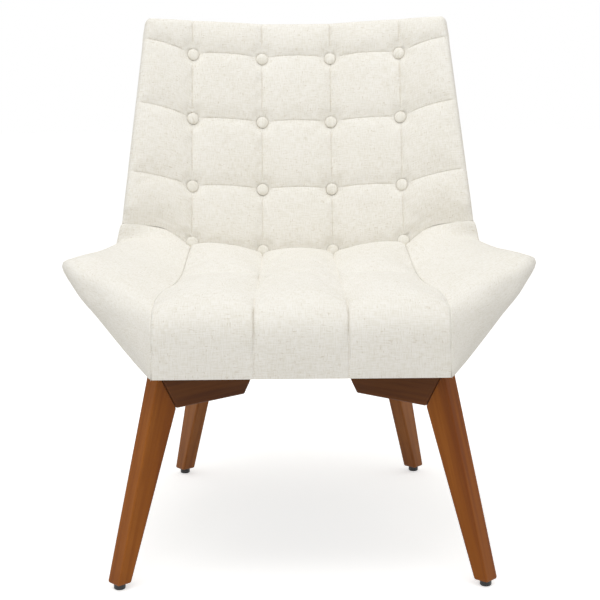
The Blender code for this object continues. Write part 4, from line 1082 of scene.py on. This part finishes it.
def noise_of(tree, vector, scale, detail=2.0, roughness=0.5):
    made = tree.nodes.new("ShaderNodeTexNoise")
    sockets = ("Vector", "Scale", "Detail", "Roughness")
    for socket, value in zip(sockets, (vector, scale, detail, roughness)):
        give(tree, value, made.inputs[socket])
    return made.outputs["Fac"]


def stretched_noise(tree, vector, stretch, detail, roughness=0.5):
    mapping = tree.nodes.new("ShaderNodeMapping")
    mapping.inputs["Scale"].default_value = stretch
    tree.links.new(vector, mapping.inputs["Vector"])
    return noise_of(tree, mapping.outputs[0], 1.0, detail, roughness)


def weave_group():
    """Linen: crossing threads of uneven thickness, slubs along both and small brown flecks."""
    tree, given, out = new_group("linen_weave", "Cloth", "Thread Colour", "Shade Colour", "Fleck Colour")
    tree.interface.new_socket(name="Fleck Amount", in_out="INPUT", socket_type="NodeSocketFloat")
    cloth = given.outputs["Cloth"]
    split = tree.nodes.new("ShaderNodeSeparateXYZ")
    tree.links.new(cloth, split.inputs[0])
    waver = noise_of(tree, cloth, 60.0)
    threads = []
    for axis in (0, 1):
        shifted = maths(tree, "MULTIPLY_ADD", waver, THREAD_WAVER, split.outputs[axis])
        wave = maths(tree, "SINE", maths(tree, "MULTIPLY", shifted, math.tau / THREAD_SPACING))
        threads.append(maths(tree, "MULTIPLY_ADD", wave, 0.5, 0.5))
    weave = maths(tree, "MAXIMUM", *threads)
    weft_slub = stretched_noise(tree, cloth, (80.0, 620.0, 1.0), 2.0)
    warp_slub = stretched_noise(tree, cloth, (620.0, 80.0, 1.0), 2.0)
    slubs = maths(tree, "MAXIMUM", ranged(tree, weft_slub, 0.5, 0.78), ranged(tree, warp_slub, 0.5, 0.78))
    height = maths(tree, "ADD", maths(tree, "MULTIPLY", weave, 0.45), maths(tree, "MULTIPLY", slubs, 0.8))
    weft_fleck = ranged(tree, stretched_noise(tree, cloth, (110.0, 560.0, 1.0), 1.0), 0.65, 0.74)
    warp_fleck = ranged(tree, stretched_noise(tree, cloth, (600.0, 120.0, 1.0), 1.0), 0.65, 0.74)
    patches = ranged(tree, noise_of(tree, cloth, 30.0), 0.36, 0.52)
    flecks = maths(tree, "MAXIMUM", weft_fleck, warp_fleck)
    flecks = maths(tree, "MULTIPLY", maths(tree, "MULTIPLY", flecks, patches), given.outputs["Fleck Amount"])
    cloudy = ranged(tree, noise_of(tree, cloth, 9.0, 3.0, 0.6), 0.3, 0.7)
    between = maths(tree, "MULTIPLY_ADD", maths(tree, "SUBTRACT", 1.0, weave), 0.4, 0.15)
    shade = maths(tree, "MULTIPLY_ADD", cloudy, 0.25, between)
    uneven = maths(tree, "ADD", weft_slub, warp_slub)
    shade = maths(tree, "SUBTRACT", shade, maths(tree, "MULTIPLY_ADD", uneven, 2.2, -2.2))
    shade = maths(tree, "MAXIMUM", shade, 0.0)
    colour = mixed(tree, shade, given.outputs["Thread Colour"], given.outputs["Shade Colour"])
    colour = mixed(tree, flecks, colour, given.outputs["Fleck Colour"])
    tree.links.new(colour, out.inputs["Colour"])
    tree.links.new(ranged(tree, slubs, 0.0, 1.0, 0.92, 0.82), out.inputs["Roughness"])
    tree.links.new(height, out.inputs["Height"])
    return tree


def grain_group():
    """Stained close-grained wood: long soft streaks, fine dark pores and a few wider bands."""
    tree, given, out = new_group("wood_grain", "Place", "Light Colour", "Middle Colour", "Dark Colour")
    place = given.outputs["Place"]
    light, middle, dark = (given.outputs[name + " Colour"] for name in ("Light", "Middle", "Dark"))
    bands = stretched_noise(tree, place, (38.0, 38.0, 2.6), 3.0, 0.55)
    streaks = stretched_noise(tree, place, (170.0, 170.0, 5.0), 4.0, 0.6)
    pores = stretched_noise(tree, place, (1500.0, 1500.0, 60.0), 1.0)
    blotch = noise_of(tree, place, 14.0)
    tone = maths(tree, "ADD", maths(tree, "MULTIPLY", bands, 0.62), maths(tree, "MULTIPLY", streaks, 0.38))
    colour = mixed(tree, ranged(tree, tone, 0.36, 0.54), dark, middle)
    colour = mixed(tree, ranged(tree, tone, 0.5, 0.68), colour, light)
    stain = maths(tree, "MULTIPLY", ranged(tree, pores, 0.62, 0.74), 0.35)
    stain = maths(tree, "ADD", stain, maths(tree, "MULTIPLY", ranged(tree, blotch, 0.5, 0.8), 0.25))
    tree.links.new(mixed(tree, stain, colour, dark), out.inputs["Colour"])
    tree.links.new(ranged(tree, streaks, 0.3, 0.7, 0.34, 0.44), out.inputs["Roughness"])
    tree.links.new(maths(tree, "SUBTRACT", streaks, pores), out.inputs["Height"])
    return tree


WEAVE = weave_group()
GRAIN = grain_group()


def new_material(name, values):
    """A material with these plain values on its shader."""
    material = bpy.data.materials.new(name)
    material.use_nodes = True
    shader = material.node_tree.nodes["Principled BSDF"]
    for socket, value in values.items():
        shader.inputs[socket].default_value = value
    return material, material.node_tree, shader


def bumped(tree, shader, height, strength, distance):
    bump = tree.nodes.new("ShaderNodeBump")
    bump.inputs["Strength"].default_value = strength
    bump.inputs["Distance"].default_value = distance
    tree.links.new(height, bump.inputs["Height"])
    tree.links.new(bump.outputs[0], shader.inputs["Normal"])


def patterned(tree, shader, group, place, colours, strength, distance):
    """Places a shared pattern in a material and returns its node."""
    pattern = tree.nodes.new("ShaderNodeGroup")
    pattern.node_tree = group
    tree.links.new(place, pattern.inputs[0])
    for name, colour in colours.items():
        pattern.inputs[name + " Colour"].default_value = (*colour, 1)
    tree.links.new(pattern.outputs["Colour"], shader.inputs["Base Color"])
    tree.links.new(pattern.outputs["Roughness"], shader.inputs["Roughness"])
    bumped(tree, shader, pattern.outputs["Height"], strength, distance)
    return pattern


def linen(name, thread, shade, fleck_amount, place="UV"):
    material, tree, shader = new_material(
        name, {"Specular IOR Level": 0.2, "Sheen Weight": 0.12, "Sheen Roughness": 0.5})
    places = tree.nodes.new("ShaderNodeTexCoord")
    colours = {"Thread": thread, "Shade": shade, "Fleck": FLECK_COLOUR}
    weave = patterned(tree, shader, WEAVE, places.outputs[place], colours, 0.35, 0.0004)
    weave.inputs["Fleck Amount"].default_value = fleck_amount
    return material


def wood(name, turn, colours, gloss=0.05):
    """Grain that runs along Z before the turn, in (light, middle, dark) colours."""
    material, tree, shader = new_material(
        name, {"Specular IOR Level": 0.12, "Coat Weight": gloss, "Coat Roughness": 0.3})
    places = tree.nodes.new("ShaderNodeTexCoord")
    mapping = tree.nodes.new("ShaderNodeMapping")
    mapping.inputs["Rotation"].default_value = turn
    tree.links.new(places.outputs["Object"], mapping.inputs["Vector"])
    colours = dict(zip(("Light", "Middle", "Dark"), colours))
    patterned(tree, shader, GRAIN, mapping.outputs[0], colours, 0.12, 0.0003)
    return material


def plain_finish(name, colour, roughness, metallic=0.0, speckle=0.25):
    """A moulded, woven or plated finish with a fine mottled surface."""
    material, tree, shader = new_material(name, {"Metallic": metallic})
    place = tree.nodes.new("ShaderNodeTexCoord").outputs["Object"]
    fine = noise_of(tree, place, 900.0, 3.0, 0.6)
    wide = noise_of(tree, place, 900.0 / 14)
    darker = tuple(value * (1 - speckle) for value in colour)
    lighter = tuple(min(1.0, value * (1 + speckle)) for value in colour)
    tint = mixed(tree, ranged(tree, fine, 0.3, 0.7), (*darker, 1), (*lighter, 1))
    wear = ranged(tree, wide, 0.3, 0.7, roughness * 0.85, min(1.0, roughness * 1.15))
    tree.links.new(tint, shader.inputs["Base Color"])
    tree.links.new(wear, shader.inputs["Roughness"])
    bumped(tree, shader, fine, 0.2, 0.0002)
    return material


# Putting the chair together

LINEN = linen("cream_linen_cloth", (0.865, 0.842, 0.792), (0.77, 0.738, 0.658), 0.35)
BUTTON_LINEN = linen("button_linen_cloth", (0.86, 0.836, 0.775), (0.76, 0.728, 0.645), 0.2, place="Object")
DUST_CLOTH = plain_finish("black_dust_cloth_finish", (0.022, 0.022, 0.024), 0.95, speckle=0.5)
NYLON = plain_finish("black_nylon_finish", (0.016, 0.016, 0.017), 0.42)
ZINC = plain_finish("zinc_steel_finish", (0.60, 0.60, 0.57), 0.34, metallic=1.0, speckle=0.08)
# Light, middle and dark of each wood
AMBER = ((0.325, 0.103, 0.013), (0.266, 0.077, 0.007), (0.193, 0.049, 0.005))
# The rear legs' paler amber is painted light, for the light falling on them from behind
REAR_AMBER_PAINTED_LIGHT = ((0.37, 0.138, 0.040), (0.31, 0.110, 0.026), (0.225, 0.072, 0.015))
# The brackets' darker amber is painted shade, for the shade they lie in under the seat
BRACKET_AMBER_PAINTED_SHADE = ((0.17, 0.056, 0.012), (0.135, 0.043, 0.008), (0.095, 0.027, 0.005))
PLY = ((0.72, 0.56, 0.36), (0.62, 0.46, 0.28), (0.48, 0.33, 0.18))
UPRIGHT = Vector((0, 0, 1))
SIDEWAYS = Vector((1, 0, 0))
GRAIN_SIDEWAYS = (0.0, math.pi / 2, 0.0)


def turn_along(thing, axis):
    """The turn that lays the piece's own length along the grain: its ends lie apart along the axis."""
    places = sorted((vert.co for vert in thing.data.vertices), key=lambda place: place.dot(axis))
    few = len(places) // 4
    length = sum(places[-few:], Vector()) - sum(places[:few], Vector())
    return length.rotation_difference(UPRIGHT).to_euler()


def finish_for(name, thing):
    """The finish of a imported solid, or None where cloth stands in for it."""
    if name.startswith("leg_bracket_"):
        # the darker amber here is painted shade from under the seat
        return wood("amber_wood_" + name, turn_along(thing, SIDEWAYS), BRACKET_AMBER_PAINTED_SHADE)
    if name.startswith("leg_rear_"):
        # the paler amber here is painted light on the rear legs
        return wood("amber_wood_" + name, turn_along(thing, UPRIGHT), REAR_AMBER_PAINTED_LIGHT)
    if name.startswith("leg_"):
        return wood("amber_wood_" + name, turn_along(thing, UPRIGHT), AMBER)
    if name.startswith("back_post_"):
        return wood("bare_timber_" + name, turn_along(thing, UPRIGHT), PLY, gloss=0.0)
    if name in ("top_rail", "front_rail"):
        return wood("bare_timber_" + name, GRAIN_SIDEWAYS, PLY, gloss=0.0)
    if name in ("seat_base_panel", "back_panel", "side_board_left", "side_board_right"):
        return wood("bare_plywood_" + name, GRAIN_SIDEWAYS, PLY, gloss=0.0)
    if name.startswith("glide_"):
        return NYLON
    if name.startswith(("bolt_", "tee_nut_")):
        return ZINC
    return None


def upholster(thing, node):
    dress(thing, LINEN, node)


upholster(make_back_pad(), "back_pad")
upholster(make_seat_pad(), "seat_pad")
for pad in make_wing_pads():
    upholster(pad, pad.name.replace("_cloth", ""))
for cover in make_side_covers():
    upholster(cover, cover.name.replace("_cloth", ""))
upholster(make_outer_back(), "outer_back_cover")
for button, node in make_buttons():
    dress(button, BUTTON_LINEN, node, sharp=60)

dust_cloth, dust_area = make_dust_cloth()
dress(dust_cloth, DUST_CLOTH, "dust_cover")
dress(make_staples(), ZINC)

for node, thing in NODES.items():
    finish = finish_for(node, thing)
    if finish:
        for slot in thing.material_slots:
            slot.material = finish


# Floor, light and camera

WHITE = (1, 1, 1, 1)
CAMERA_PLACE = (-0.017, -2.3234, 0.751)
CAMERA_YAW = math.radians(-0.46)
CAMERA_TILT = math.radians(80.37)
CAMERA_ROLL = math.radians(-0.42)
CAMERA_LENS = 86.7
LAMP_COLOUR = (0.97, 0.985, 1.0)
LAMP_TARGET = Vector((0, 0, 0.4))


def seen_by(tree, *rays):
    """1 for rays of these kinds, and 0 for the light that falls on the chair."""
    path = tree.nodes.new("ShaderNodeLightPath")
    seen = path.outputs[rays[0]]
    for ray in rays[1:]:
        seen = maths(tree, "MAXIMUM", seen, path.outputs[ray])
    return seen


def make_floor():
    bm = bmesh.new()
    bmesh.ops.create_grid(bm, x_segments=1, y_segments=1, size=12)
    floor = add_object("floor", bm)
    material, tree, shader = new_material("floor_white", {
        "Base Color": (0.88, 0.88, 0.88, 1), "Roughness": 0.9, "Specular IOR Level": 0.0,
        "Emission Color": (0.52, 0.52, 0.52, 1)})
    tree.links.new(seen_by(tree, "Is Camera Ray", "Is Glossy Ray"), shader.inputs["Emission Strength"])
    floor.data.materials.append(material)


def make_world():
    """White where it is seen, and a little warmer and dimmer where it lights the chair."""
    world = bpy.data.worlds.new("studio")
    world.use_nodes = True
    tree = world.node_tree
    tree.nodes.clear()
    seen = seen_by(tree, "Is Camera Ray", "Is Glossy Ray", "Is Transmission Ray")
    mix = tree.nodes.new("ShaderNodeMixShader")
    tree.links.new(seen, mix.inputs[0])
    for place, (colour, strength) in enumerate((((1.0, 0.985, 0.95, 1), 0.59), (WHITE, 1.0)), 1):
        background = tree.nodes.new("ShaderNodeBackground")
        background.inputs["Color"].default_value = colour
        background.inputs["Strength"].default_value = strength
        tree.links.new(background.outputs[0], mix.inputs[place])
    out = tree.nodes.new("ShaderNodeOutputWorld")
    tree.links.new(mix.outputs[0], out.inputs[0])
    bpy.context.scene.world = world


def add_softbox(name, place, size, power):
    """A square lamp aimed at the seat."""
    data = bpy.data.lights.new(name, "AREA")
    data.shape = "RECTANGLE"
    data.size = data.size_y = size
    data.energy = power
    data.color = LAMP_COLOUR
    lamp = bpy.data.objects.new(name, data)
    lamp.location = place
    lamp.rotation_euler = (LAMP_TARGET - Vector(place)).to_track_quat("-Z", "Y").to_euler()
    bpy.context.scene.collection.objects.link(lamp)


def make_camera():
    data = bpy.data.cameras.new("camera")
    data.sensor_width = 36
    data.lens = CAMERA_LENS
    camera = bpy.data.objects.new("camera", data)
    turn = (Matrix.Rotation(CAMERA_YAW, 4, "Z") @ Matrix.Rotation(CAMERA_TILT, 4, "X")
            @ Matrix.Rotation(CAMERA_ROLL, 4, "Z"))
    camera.matrix_world = Matrix.Translation(CAMERA_PLACE) @ turn
    bpy.context.scene.collection.objects.link(camera)
    bpy.context.scene.camera = camera


make_floor()
make_world()
add_softbox("overhead_softbox", (-0.15, -0.5, 3.0), size=2.4, power=40)
add_softbox("front_softbox", (-0.4, -3.0, 1.8), size=1.6, power=13)
make_camera()
bpy.context.scene.view_settings.view_transform = "Standard"
